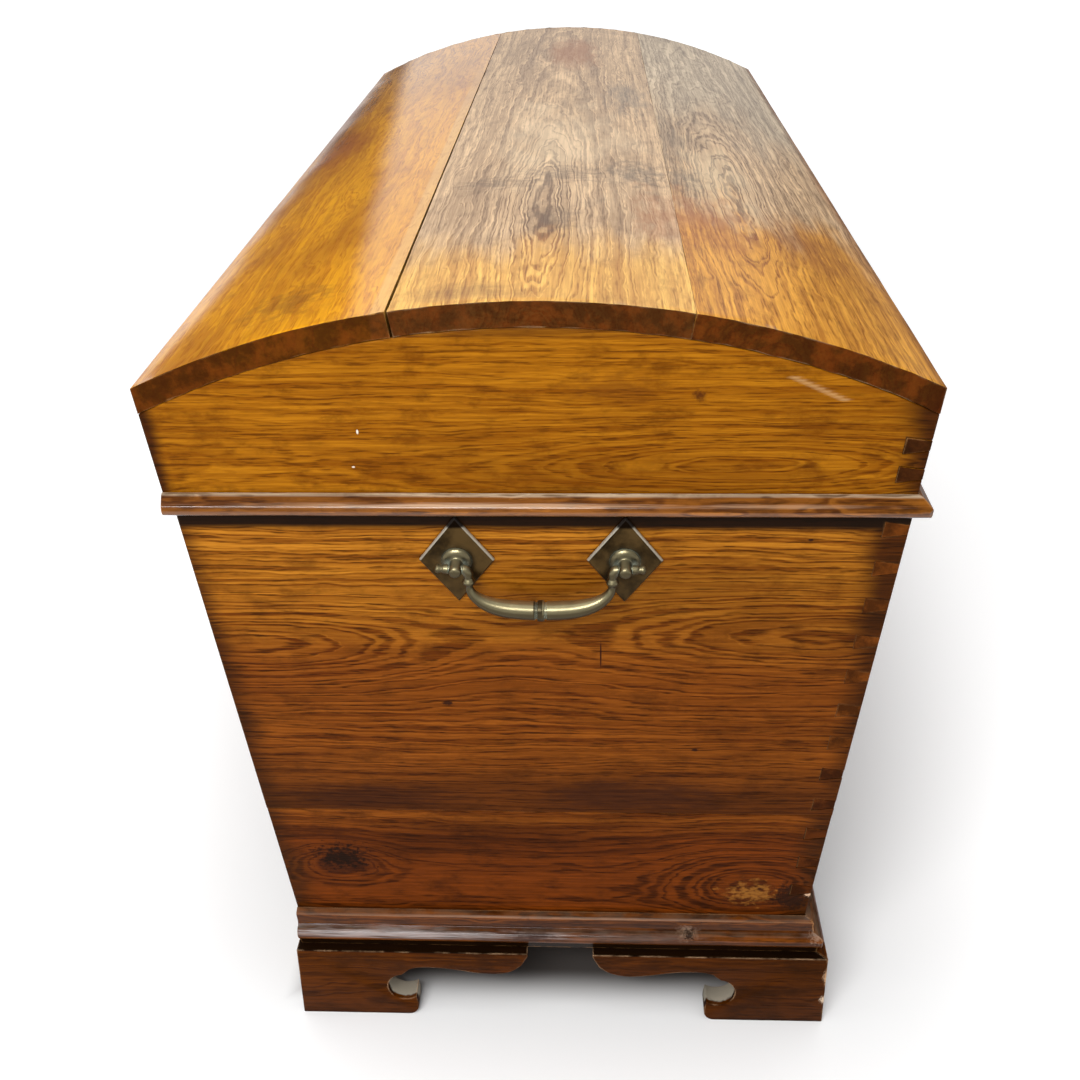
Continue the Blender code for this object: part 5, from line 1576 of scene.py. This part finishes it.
@dataclass
class Studio:
    """Pale floor, soft light, white surroundings and the camera."""

    camera_place: Point = (-1.560356, -0.043596, 1.091452)
    pitch: float = 24.928
    yaw: float = -2.758
    roll: float = -1.167
    lens: float = 42.826
    shift: tuple[float, float] = (0.004525, -0.11496)
    ambient: float = 0.55
    walls: float = 0.05
    window: float = 0.9
    window_edge: Point = (-0.182, 0.899, -0.397)
    window_side: tuple[float, float] = (-0.02, 0.03)
    window_end: tuple[float, float] = (-0.36, -0.20)
    window_depth: tuple[float, float] = (0.0, 0.5)
    half_footprint: tuple[float, float] = (0.62, 0.26)
    half_floor: float = 60.0
    paper: tuple[Tone, Tone] = ((250, 250, 250), (235, 235, 235))
    shaded_paper: Tone = (60, 54, 50)
    paper_grain: tuple[float, float] = (180.0, 0.05)
    shade: float = 0.97
    shade_edge: tuple[float, float] = (-0.035, 0.014)
    glow: float = 0.30
    glow_near: tuple[float, float] = (0.02, 0.40)
    glow_far: tuple[float, float] = (0.9, 3.5)
    lamps: tuple[Lamp, ...] = (
        Lamp("overhead", (0.0, 0.25, 2.9), (0.0, 0.0, 0.4), (2.6, 2.6), 30.0, True),
        Lamp("end_key", (-2.27, 0.38, 1.57), (-0.6, 0.1, 0.2), (1.15, 1.90), 18.0, False),
        Lamp("end_strip", (-2.05, 0.47, 1.75), (-0.65, 0.1, 0.35), (1.10, 0.30), 20.0, True))

    def build_camera(self) -> None:
        """Place the camera at the photograph's viewing angle."""
        pitch, yaw, roll = (math.radians(v) for v in (self.pitch, self.yaw, self.roll))
        ahead = Vector((math.cos(yaw) * math.cos(pitch), -math.sin(yaw) * math.cos(pitch),
                        -math.sin(pitch)))
        level = Vector((-math.sin(yaw), -math.cos(yaw), 0))
        above = level.cross(ahead)
        right = level * math.cos(roll) + above * math.sin(roll)
        up = above * math.cos(roll) - level * math.sin(roll)
        turn = Matrix((right, up, -ahead)).transposed().to_4x4()
        data = bpy.data.cameras.new("camera")
        data.sensor_fit, data.sensor_width, data.lens = "HORIZONTAL", 36.0, self.lens
        data.shift_x, data.shift_y = self.shift
        data.clip_start, data.clip_end = 0.05, 200.0
        camera = linked("camera", data)
        camera.matrix_world = Matrix.Translation(self.camera_place) @ turn
        bpy.context.scene.camera = camera

    def build_floor(self) -> None:
        """Lay a large white floor that keeps the chest's shadow and has a painted shadow under it.
        """
        mesh = bmesh.new()
        bmesh.ops.create_grid(mesh, x_segments=1, y_segments=1, size=self.half_floor)
        data = mesh_data("floor", mesh)
        data.materials.append(self._paper())
        linked("floor", data)

    def _paper(self) -> Material:
        """Make white paper with a painted shadow under the chest and a painted glow round it where
        it is seen.

        Returns:
            The floor's material.
        """
        material, sheet, surface = new_material("floor_paper", self.paper[0])
        place = sheet.add("TexCoord").outputs["Object"]
        scale, share = self.paper_grain
        paper = sheet.mix(sheet.times(sheet.noise(place, scale, 3.0), share),
                          *(colour(tone) for tone in self.paper))
        rays = sheet.add("LightPath").outputs
        seen = sheet.larger(rays["Is Camera Ray"], sheet.larger(rays["Is Glossy Ray"],
                                                                rays["Is Transmission Ray"]))
        away = sheet.vector("SUBTRACT", sheet.vector("ABSOLUTE", place),
                            (*self.half_footprint, 0.0))
        across, along, _ = sheet.split(away)
        # Painted shadow: the paper turns dark over the chest's footprint.
        painted_shadow = sheet.ranged(sheet.larger(across, along), *self.shade_edge, self.shade, 0.0)
        distance = sheet.length(sheet.vector("MAXIMUM", away, (0.0, 0.0, 0.0)))
        # Painted glow: where it is seen, the paper glows more the farther it lies from the
        # footprint.
        near = sheet.ranged(distance, *self.glow_near, 0.0, self.glow)
        far = sheet.ranged(distance, *self.glow_far, 0.0, self.glow)
        sheet.feed_all(surface, {
            "Base Color": sheet.mix(painted_shadow, paper, colour(self.shaded_paper)),
            "Roughness": 0.95, "Specular IOR Level": 0.0,
            "Emission Color": (1.0, 1.0, 1.0, 1.0),
            "Emission Strength": sheet.times(seen, sheet.plus(near, far))})
        return material

    def build_world(self) -> None:
        """Fill the surroundings with soft light, white where they are seen directly."""
        world = bpy.data.worlds.new("surroundings")
        world.use_nodes = True
        bpy.context.scene.world = world
        sheet = NodeSheet(world.node_tree)
        plain = world.node_tree.nodes["Background"]
        way = sheet.add("TexCoord").outputs["Generated"]
        x, y, _ = sheet.split(way)
        side = sheet.ranged(sheet.dot(way, self.window_edge), *self.window_side, 1.0, 0.0)
        window = sheet.times(sheet.times(side, sheet.ranged(y, *self.window_end)),
                             sheet.ranged(x, *self.window_depth))
        room = sheet.ranged(window, 0.0, 1.0, self.walls, self.window)
        rays = sheet.add("LightPath").outputs
        mirrored = sheet.larger(rays["Is Glossy Ray"], rays["Is Transmission Ray"])
        strength = sheet.add("Mix", {0: mirrored, 2: self.ambient, 3: room})
        strength = sheet.add("Mix", {0: rays["Is Camera Ray"], 2: strength.outputs[0], 3: 1.0})
        sheet.feed_all(plain, {"Color": (1.0, 1.0, 1.0, 1.0), "Strength": strength.outputs[0]})

    def build(self) -> None:
        """Set up the whole studio."""
        self.build_camera()
        self.build_floor()
        self.build_world()
        for lamp in self.lamps:
            lamp.hang()
        bpy.context.scene.view_settings.view_transform = "Standard"


# Finishes of this chest

GOLD = Palette((176, 112, 28), (98, 46, 2), (58, 26, 0))
AMBER = Palette((164, 104, 14), (110, 57, 0), (76, 36, 0))
BROWN = Palette((134, 72, 16), (76, 30, 0), (44, 18, 0))
RUSSET = Palette((110, 50, 6), (58, 22, 0), (34, 12, 0))
UMBER = Palette((92, 45, 8), (56, 23, 0), (35, 14, 0))
EDGE_DARK = Palette((74, 35, 4), (48, 21, 1), (30, 13, 0))
MOULDING = Palette((150, 90, 24), (78, 38, 4), (48, 22, 1))
PLINTH = Palette((120, 62, 10), (64, 28, 0), (34, 14, 0))
FEET = Palette((88, 42, 3), (54, 23, 0), (34, 14, 0))
HONEY = Palette((236, 166, 10), (188, 110, 0), (130, 68, 0))
SAP = Palette((226, 172, 84), (206, 146, 58), (162, 100, 36))
STRAW = Palette((246, 192, 96), (160, 98, 30), (100, 56, 12))
PALE = Palette((230, 192, 146), (106, 72, 42), (84, 56, 32))
TAN = Palette((236, 168, 60), (148, 82, 16), (92, 46, 4))
ASH = Palette((222, 198, 164), (112, 88, 64), (88, 66, 48))
BARE = Palette((138, 100, 62), (104, 72, 42), (72, 48, 27))
AGED = Palette((112, 74, 40), (82, 51, 26), (56, 34, 16))
# Near-black palette for painted shade and shadow.
PAINTED_SHADE = Palette((30, 13, 2), (22, 9, 1), (14, 6, 0))
TO_FRONT, TO_BACK, DOWN = (0.0, -1.0, 0.0), (0.0, 1.0, 0.0), (0.0, 0.0, -1.0)
RAW = {"sheen": 0.7, "coat": 0.0}
BACK_FACE = {"contrast": 0.6, "sheen": 0.5, "coat": 0.1, "inside": TO_FRONT}
END_BOARD = {"grain": Grain.ALONG_END, "ring": 0.0056, "contrast": 0.75, "pores": 0.8,
             "worn": 0.12}
MOULDED = {"waver": 0.012, "ring": 0.006, "contrast": 0.95, "mottle": 0.7}
FOOT = {"palette": FEET, "waver": 0.012, "ring": 0.006, "cloud": 0.6}
WEATHERED = {"slope": 0.02, "waver": 0.014, "fibre": 0.4, "pores": 0.55, "mottle": 0.35,
             "cloud": 0.3, "cut": (84, 36, 6), "worn": 0.3, "wear": (214, 176, 130),
             "sheen": 0.46, "coat_roughness": 0.24, "unrolled": True, "inside": DOWN}


def marks(*rows: tuple) -> tuple[Stain, ...]:
    """Make stains from rows of their values."""
    return tuple(Stain(*row) for row in rows)


DOME_BACK_MARKS = marks(
    ((0.22, 0.305, 0.70), (0.50, 0.050, 0.1), (112, 54, 8), 0.8, 0.3, 0.9, 3.0),
    ((0.03, 0.262, 0.72), (0.16, 0.05, 0.1), (150, 74, 12), 0.7, 0.4, 0.9, 3.0),
    ((-0.40, 0.255, 0.72), (0.10, 0.03, 0.1), (160, 92, 14), 0.5, 0.5, 0.9, 3.0),
    ((0.212, 0.235, 0.72), (0.06, 0.02, 0.1), (120, 62, 16), 0.5, 0.5, 0.9, 3.0),
    ((-0.60, 0.20, 0.74), (0.05, 0.05, 0.1), (120, 74, 20), 0.5, 0.6, 0.9, 5.0))
DOME_MIDDLE_MARKS = marks(
    ((-0.16, -0.01, 0.77), (0.30, 0.10, 0.1), (238, 214, 176), 0.30, 0.5, 1.0, 3.0),
    ((-0.335, 0.045, 0.77), (0.030, 0.05, 0.1), (96, 74, 54), 0.5, 0.8, 1.0, 4.0),
    ((-0.305, -0.020, 0.77), (0.042, 0.05, 0.1), (92, 72, 54), 0.5, 0.8, 1.0, 4.0),
    ((-0.285, -0.090, 0.765), (0.065, 0.04, 0.1), (88, 72, 58), 0.6, 0.8, 1.0, 4.0),
    ((-0.43, -0.112, 0.768), (0.12, 0.045, 0.1), (150, 86, 34), 0.55, 0.6, 1.0, 3.0),
    ((-0.46, -0.01, 0.77), (0.06, 0.035, 0.1), (88, 66, 46), 0.5, 0.6, 1.0, 4.0),
    ((0.108, -0.088, 0.765), (0.15, 0.04, 0.1), (98, 86, 74), 0.6, 0.5, 1.0, 4.0),
    ((0.42, -0.017, 0.77), (0.18, 0.05, 0.1), (150, 92, 46), 0.75, 0.3, 0.8, 3.0),
    ((-0.65, 0.05, 0.77), (0.03, 0.07, 0.1), (110, 72, 36), 0.5, 0.3, 1.0, 3.0))
DOME_FRONT_MARKS = marks(
    ((-0.42, -0.150, 0.757), (0.13, 0.055, 0.1), (150, 82, 28), 0.65, 0.6, 1.0, 3.0),
    ((-0.41, -0.24, 0.73), (0.12, 0.05, 0.1), (128, 70, 28), 0.55, 0.5, 1.0, 3.0),
    ((-0.24, -0.17, 0.75), (0.24, 0.05, 0.1), (240, 216, 174), 0.3, 0.5, 1.0, 3.0),
    ((-0.10, -0.13, 0.76), (0.20, 0.03, 0.1), (98, 82, 66), 0.5, 0.6, 1.0, 4.0),
    ((-0.28, -0.135, 0.76), (0.06, 0.03, 0.1), (98, 82, 66), 0.5, 0.8, 1.0, 4.0))


def edge_darkening(side: int, level: float, reach: float, lean: float, right: bool) -> Fade:
    """Darken a board towards one upright edge of an end.

    Args:
        side: -1 for the left end, 1 for the right one.
        level: height at which the reach is given.
        reach: how far the darkening comes in from the edge.
        lean: how far the darkening's border leans.
        right: whether the edge is at the front of the chest.

    Returns:
        The fade.
    """
    sign = -1 if right else 1
    x = side * SHAPE.half_length(level)
    edge = SHAPE.middle_y + sign * SHAPE.body_back(level)
    start = (x, edge - sign * reach, level)
    stop = (x, edge + sign * 0.004, level - lean * reach)
    return Fade(EDGE_DARK, start, stop, 0.30, 13.0)


def end_boards(label: str, side: int, seed: float) -> dict[str, OakFinish]:
    """List the finishes of an end's two boards, with their figure, knot and burr.

    Args:
        label: left or right.
        side: -1 for the left end, 1 for the right one.
        seed: shifts the pattern.

    Returns:
        The finishes by CAD name.
    """
    high, low = side * 0.648, side * 0.628
    chip = 0.152
    inside = (-side, 0.0, 0.0)
    upper = OakFinish(
        f"oak_end_upper_{label}", palette=GOLD, middle=(side * 0.650, 0.0, 0.455),
        heart=(0.0, 0.050 * -side), waver=0.008, bold=10.0, mottle=0.5, cut=(84, 42, 12),
        seed=seed, inside=inside, **END_BOARD,
        swells=(Swell((0.245, -0.005), (0.15, 0.04), 0.036 * side),
                Swell((-0.22, 0.022), (0.15, 0.04), 0.036 * side),
                Swell((0.02, -0.06), (0.10, 0.05), -0.014 * side)),
        fades=(Fade(BROWN, (high, 0, 0.53), (high, 0, 0.41), 0.2),
               Fade(UMBER, (high, 0, 0.34), (high, 0, 0.26), 0.3),
               edge_darkening(side, 0.42, 0.022, 0.16, False),
               edge_darkening(side, 0.42, 0.026, 0.03, True),
               # Painted shadow: a dark band just under the lid moulding.
               Fade(PAINTED_SHADE, (high, 0, 0.568), (high, 0, 0.576), 0.12, 14.0)),
        stains=marks(
            ((high, -0.08, 0.276), (0.1, 0.12, 0.03), (50, 23, 9), 0.7, 0.35, 0.8, 4.0),
            ((high, 0.16, 0.272), (0.1, 0.11, 0.022), (44, 19, 7), 0.6, 0.35, 0.8, 4.0),
            ((high, -0.0517, 0.442), (0.04, 0.0009, 0.018), (38, 15, 6), 0.95, 0.05),
            ((high, 0.0827, 0.3865), (0.04, 0.006, 0.003), (36, 16, 7), 0.9),
            ((high, -0.136, 0.334), (0.04, 0.004, 0.002), (30, 14, 7), 0.9),
            ((high, -0.2198, 0.562), (0.04, 0.003, 0.0018), (30, 14, 7), 0.9)))
    lower = OakFinish(
        f"oak_end_lower_{label}", palette=BROWN, middle=(low, 0.0, 0.190),
        heart=(-0.03, 0.06 * -side), waver=0.010, bold=9.0, cloud=0.55, mottle=0.6,
        cut=(72, 34, 8), seed=seed + 1.0, inside=inside, **END_BOARD,
        swells=(Swell((0.197, 0.0), (0.045, 0.030), 0.030 * side),
                Swell((-0.197, -0.036), (0.075, 0.062), 0.048 * side)),
        fades=(Fade(RUSSET, (low, 0, 0.248), (low, 0, 0.218), 0.3),
               edge_darkening(side, 0.19, 0.030, 0.12, False),
               edge_darkening(side, 0.19, 0.030, 0.06, True)),
        stains=marks(
            ((low, 0.195, 0.186), (0.05, 0.045, 0.028), (50, 21, 7), 0.75, 0.3, 0.9, 3.0),
            ((low, 0.197, 0.191), (0.05, 0.028, 0.019), (22, 10, 3), 0.9, 0.9, 0.7, 5.0),
            ((low, -0.1966, 0.150), (0.05, 0.040, 0.024), (54, 24, 8), 0.6, 0.3, 0.8, 4.0),
            ((low, -0.1966, 0.150), (0.05, 0.028, 0.017), (156, 102, 40), 0.65, 0.9, 1.0, 3.5),
            ((low, -0.236, 0.145), (0.05, 0.020, 0.020), (30, 14, 6), 0.8, 0.6, 0.5, 6.0),
            ((side * SHAPE.half_length(chip), SHAPE.middle_y - SHAPE.half_depth(chip), chip),
             (0.010, 0.009, 0.006), (214, 178, 146), 0.9, 0.4, 0.4, 5.0)))
    return {f"end_{label}_upper": upper, f"end_{label}_lower": lower}


def lid_end(label: str, side: int, seed: float) -> OakFinish:
    """Finish of an arched end of the lid, with its pale streak and its flecks of paint.

    Args:
        label: left or right.
        side: -1 for the left end, 1 for the right one.
        seed: shifts the pattern.

    Returns:
        The finish.
    """
    x = side * 0.668
    streak = [((x, -0.196 - 0.0048 * i, 0.709 - 0.00235 * i), (0.05, 0.008, 0.0021),
               (222, 188, 138), 0.30, 0.2, 1.0) for i in range(9)]
    return OakFinish(
        f"oak_lid_end_{label}", Grain.ALONG_END, AMBER, (x, 0, 0.66), (-0.028, -0.055 * side),
        0.02, 0.009, 0.0050, 0.58, fibre=0.55, pores=0.85, cloud=0.55, mottle=0.7, bold=9.0,
        swells=(Swell((-0.17, -0.028), (0.17, 0.030), 0.044 * side),),
        fades=(edge_darkening(side, 0.65, 0.008, 0.10, False),
               edge_darkening(side, 0.65, 0.030, 0.06, True)),
        stains=marks(
            *streak,
            ((x, 0.138, 0.662), (0.05, 0.0011, 0.0026), (236, 226, 200), 0.8, 0.1),
            ((x, 0.144, 0.630), (0.05, 0.0016, 0.0010), (236, 226, 200), 0.7, 0.1),
            # Painted shadow along the top, under the ends of the dome boards.
            ((x, 0.0, 0.748), (0.05, 0.20, 0.010), (70, 36, 8), 0.6, 0.3, 1.0),
            ((x, -0.126, 0.694), (0.05, 0.008, 0.007), (70, 32, 6), 0.9, 0.4, 0.9),
            ((x, -0.06, 0.70), (0.05, 0.05, 0.02), (90, 46, 8), 0.4, 0.6, 1.0, 4.0)),
        seed=seed, worn=0.12, inside=(-side, 0.0, 0.0))


def moulding_ends(label: str, side: int, seed: float) -> dict[str, OakFinish]:
    """List the finishes of the lid moulding and the plinth on one end.

    The pale marks along their rounds are painted highlights.

    Args:
        label: left or right.
        side: -1 for the left end, 1 for the right one.
        seed: shifts the pattern.

    Returns:
        The finishes by CAD name.
    """
    edge, torus, ledge, face = side * 0.675, side * 0.645, side * 0.640, side * 0.636
    lid = OakFinish(
        f"oak_lid_moulding_{label}", Grain.ALONG_END, MOULDING, heart=(0.55, 0.60 * side),
        seed=seed, dust=0.08, coat=0.9, coat_roughness=0.17, **MOULDED,
        fades=(Fade(ASH, (side * 0.668, 0, 0.6038), (side * 0.668, 0, 0.6056), 0.3, 20.0),
               # Painted shade on the underside of the moulding's nose.
               Fade(PAINTED_SHADE, (side * 0.668, 0, 0.5925), (side * 0.668, 0, 0.5895), 0.1, 20.0)),
        stains=marks(
            # Painted highlight along the moulding's round, stronger towards the back.
            ((edge, 0.06, 0.5992), (0.04, 0.22, 0.0024), (222, 188, 154), 0.50, 0.4, 1.0, 4.0),
            ((edge, -0.19, 0.5992), (0.04, 0.12, 0.0020), (204, 164, 128), 0.36, 0.4, 1.0,
             4.0)))
    plinth = OakFinish(
        f"oak_plinth_{label}", Grain.ALONG_END, PLINTH, heart=(0.06, 0.60 * side),
        seed=seed + 1, dust=0.18, coat=0.4, coat_roughness=0.12, grime_and_shade=1.0, **MOULDED,
        # Painted shade under the torus, over its lower round and the neck.
        fades=(Fade(PAINTED_SHADE, (side * 0.668, 0, 0.0960), (side * 0.668, 0, 0.0930), 0.05, 20.0),),
        stains=marks(
            # Painted highlights: a pale band along the torus, fainter towards the front, and a pale
            # line along the top fillet.
            ((torus, 0.15, 0.1034), (0.04, 0.20, 0.0050), (198, 190, 188), 0.52, 0.5, 1.0, 4.0),
            ((ledge, -0.08, 0.1034), (0.04, 0.12, 0.0040), (160, 140, 130), 0.20, 0.5, 1.0,
             4.0),
            ((ledge, 0.0, 0.1180), (0.04, 0.40, 0.0012), (176, 146, 124), 0.40, 0.3, 0.9, 3.0),
            # Knot, dark patch and chip.
            ((face, -0.137, 0.1065), (0.02, 0.013, 0.007), (150, 122, 100), 0.6, 0.5, 1.0, 3.0),
            ((face, -0.138, 0.1055), (0.02, 0.007, 0.004), (26, 10, 3), 0.95, 0.6, 0.8, 4.0),
            ((face, 0.0136, 0.104), (0.02, 0.026, 0.014), (44, 18, 8), 0.75, 0.5, 0.8, 4.0),
            ((ledge, -0.262, 0.106), (0.02, 0.010, 0.006), (170, 142, 120), 0.5, 0.9, 1.0,
             4.0)))
    return {f"lid_moulding_{label}": lid, f"plinth_{label}": plinth}


def feet(label: str, side: int, seed: float) -> dict[str, OakFinish]:
    """List the finishes of the feet and corner blocks at one end.

    Args:
        label: left or right.
        side: -1 for the left end, 1 for the right one.
        seed: shifts the pattern.

    Returns:
        The finishes by CAD name.
    """
    rows = {}
    scroll, corner = side * 0.6305, side * 0.6451
    for row, y in (("front", -0.1695), ("back", 0.1425)):
        rows[f"foot_{row}_{label}_side"] = OakFinish(
            f"oak_foot_{row}_{label}_side", Grain.ALONG_END, heart=(0.0, 0.60 * side),
            contrast=0.8, mottle=0.7, **FOOT,
            stains=marks(
                ((scroll, y, 0.038), (0.0140, 0.026, 0.034), (158, 150, 134), 0.9, 0.12, 0.2,
                 5.0),
                ((corner, -0.2735, 0.031), (0.008, 0.006, 0.006), (210, 186, 160), 0.9, 0.6,
                 0.5, 5.0),
                ((corner, -0.2735, 0.062), (0.006, 0.005, 0.010), (176, 140, 108), 0.8, 0.6,
                 0.5, 5.0)),
            # Painted shade on the foot's top ledge, under the plinth's torus.
            fades=(Fade(PAINTED_SHADE, (0, 0, 0.0836), (0, 0, 0.0846), 0.05, 20.0),),
            # Pale rubbing on every arris of the foot: worn wood, and a painted highlight along the
            # top arris.
            worn=0.95, wear=(206, 164, 124), seed=seed + 3 + len(row))
        rows[f"corner_block_{row}_{label}"] = OakFinish(
            f"oak_block_{row}_{label}", Grain.UPRIGHT, BARE, heart=(0.5, 0.2), ring=0.004,
            seed=seed + 5 + len(row), **RAW)
    rows[f"foot_front_{label}_face"] = OakFinish(
        f"oak_foot_face_{label}", Grain.ALONG_CHEST, heart=(0.0, 0.22), contrast=0.6,
        seed=seed + 6, **FOOT)
    rows[f"foot_back_{label}_plain"] = OakFinish(
        f"oak_foot_plain_{label}", Grain.ALONG_CHEST, AGED, heart=(0.0, -0.3), seed=seed + 7,
        **RAW)
    return rows


def dome_finishes() -> dict[str, OakFinish]:
    """List the finishes of the dome's three boards by CAD name."""
    chest = Grain.ALONG_CHEST
    return {
        "dome_board_back": OakFinish(
            "oak_dome_back", chest, HONEY, heart=(0.40, -0.03), slope=0.10, waver=0.030,
            ring=0.010, contrast=0.6, fibre=0.35, pores=0.45, cloud=0.6, mottle=0.4,
            fades=(Fade(SAP, (0, 0.1220, 0.76), (0, 0.1185, 0.76), 0.4, 6.0),
                   Fade(TAN, (0.1, 0.24, 0.72), (0.5, 0.29, 0.70), 0.4, 4.0),
                   Fade(BROWN, (0, 0.304, 0.706), (0, 0.326, 0.70), 0.3, 7.0, 0.1)),
            stains=DOME_BACK_MARKS, cut=(88, 40, 7), worn=0.3, seed=7.0, sheen=0.42, coat=0.75,
            coat_roughness=0.09, unrolled=True, inside=DOWN),
        "dome_board_middle": OakFinish(
            "oak_dome_middle", chest, STRAW, heart=(-0.005, -0.055), ring=0.0054,
            contrast=0.40, bold=16.0, coat=0.5, seed=8.0, stains=DOME_MIDDLE_MARKS,
            **WEATHERED,
            swells=(Swell((-0.40, 0.0), (0.27, 0.042), 0.044),
                    Swell((-0.4746, -0.003), (0.030, 0.012), 0.012)),
            fades=(Fade(PALE, (-0.60, 0, 0.77), (-0.48, 0, 0.77), 0.6, 7.0),)),
        "dome_board_front": OakFinish(
            "oak_dome_front", chest, TAN, heart=(-0.195, -0.055), ring=0.0056, contrast=0.46,
            bold=15.0, coat=0.45, seed=9.0, stains=DOME_FRONT_MARKS, **WEATHERED,
            swells=(Swell((-0.29, -0.180), (0.28, 0.042), 0.044),),
            fades=(Fade(PALE, (-0.46, 0, 0.75), (-0.27, 0, 0.75), 0.8, 7.0),
                   Fade(ASH, (-0.15, 0, 0.75), (0.25, 0, 0.75), 0.4, 6.0),
                   Fade(BROWN, (0, -0.296, 0.71), (0, -0.318, 0.70), 0.2, 12.0, 0.3)))}


def oak_finishes() -> dict[str, OakFinish]:
    """List the finish of every oak board by its CAD name."""
    chest = Grain.ALONG_CHEST
    rows = {
        **end_boards("left", -1, 1.0), **end_boards("right", 1, 21.0),
        "front_board_upper": OakFinish(
            "oak_front_upper", chest, BROWN, (0, -0.286, 0.47), (0.0, 0.04), 0.02, 0.009,
            0.0056, 0.85, cut=(104, 54, 14), worn=0.15, inside=TO_BACK, seed=3.0,
            swells=(Swell((-0.42, 0.01), (0.16, 0.05), -0.03),
                    Swell((0.22, -0.02), (0.22, 0.05), -0.035)),
            fades=(Fade(UMBER, (0, -0.28, 0.45), (0, -0.27, 0.34), 0.25),)),
        "front_board_lower": OakFinish(
            "oak_front_lower", chest, BROWN, (0, -0.265, 0.22), (0.02, 0.05), 0.03, 0.010,
            0.0055, 0.75, cut=(80, 38, 9), worn=0.15, inside=TO_BACK, seed=4.0,
            swells=(Swell((0.1, 0.0), (0.25, 0.05), -0.04),),
            fades=(Fade(RUSSET, (0, -0.26, 0.30), (0, -0.25, 0.17), 0.3),)),
        "back_board_upper": OakFinish(
            "oak_back_upper", chest, BROWN, (0, 0.286, 0.47), (0.05, 0.05), 0.03, 0.008,
            0.0058, seed=5.0, **BACK_FACE),
        "back_board_lower": OakFinish(
            "oak_back_lower", chest, UMBER, (0, 0.265, 0.20), (-0.02, 0.06), 0.04, 0.010,
            0.0055, seed=6.0, **BACK_FACE),
        "lid_moulding_front": OakFinish(
            "oak_lid_moulding_front", chest, MOULDING, heart=(0.55, 0.26), seed=51.0,
            dust=0.15, coat=0.15, coat_roughness=0.2, **MOULDED),
        "plinth_front": OakFinish(
            "oak_plinth_front", chest, PLINTH, heart=(0.06, 0.22), seed=52.0, dust=0.3,
            coat=0.2, coat_roughness=0.2, grime_and_shade=1.0, **MOULDED,
            # Painted shade under the torus, over its lower round and the neck.
            fades=(Fade(PAINTED_SHADE, (0, 0, 0.0960), (0, 0, 0.0930), 0.05, 20.0),)),
        **dome_finishes()}
    for label, side, seed in (("left", -1, 11.0), ("right", 1, 31.0)):
        rows[f"lid_end_{label}"] = lid_end(label, side, seed)
        rows |= moulding_ends(label, side, seed + 1)
        rows |= feet(label, side, seed)
    for row, seed, inside in (("front", 41.0, TO_BACK), ("back", 42.0, TO_FRONT)):
        rows[f"lid_rail_{row}"] = OakFinish(
            f"oak_lid_rail_{row}", chest, AMBER, (0, 0, 0.64), (0.03, 0.34), 0.03, 0.006,
            0.0046, 0.5, seed=seed, inside=inside)
        rows[f"bottom_board_{row}"] = OakFinish(
            f"oak_bottom_{row}", Grain.FLAT, BARE, heart=(0.02, 0.02), ring=0.006,
            seed=seed + 3, slope=0.03, **RAW)
    return rows


HANDLED_BRASS = MetalFinish(
    "brass_handled", bare=(186, 174, 134), patina=(50, 41, 23), deposit=(164, 174, 156),
    scale=40.0, patina_share=0.22, roughness=0.34, metallic=0.85, underside_shade=0.95,
    ring_half=0.0040, bump=0.05)
PLATE_BRASS = MetalFinish(
    "brass_plate", bare=(68, 52, 29), patina=(30, 22, 11), deposit=(110, 126, 112),
    scale=30.0, patina_share=0.95, roughness=0.28, deposit_reach=0.005, upper_edge_highlight=0.9,
    shade_above=0.576)
BLACK_IRON = MetalFinish(
    "iron_black", bare=(66, 62, 60), patina=(58, 40, 30), deposit=(40, 28, 20), scale=70.0,
    patina_share=0.7, roughness=0.5, metallic=0.85)


def main() -> None:
    """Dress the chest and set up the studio."""
    logging.basicConfig(level=logging.INFO, format="%(message)s")
    finishes = {node: oak.build() for node, oak in oak_finishes().items()}
    brass, plate, iron = (metal.build() for metal in (HANDLED_BRASS, PLATE_BRASS, BLACK_IRON))
    lid, case = Lid(), Case()
    lid.build_boards(finishes)
    lid.build_frame(finishes)
    lid.build_moulding(finishes)
    case.build_boards(finishes)
    case.build_plinth(finishes)
    case.build_feet(finishes)
    for side in (-1, 1):
        BailHandle(side).build(brass, plate, iron)
    Ironwork().build(iron, plate)
    Studio().build()


if __name__ == "__main__":
    main()
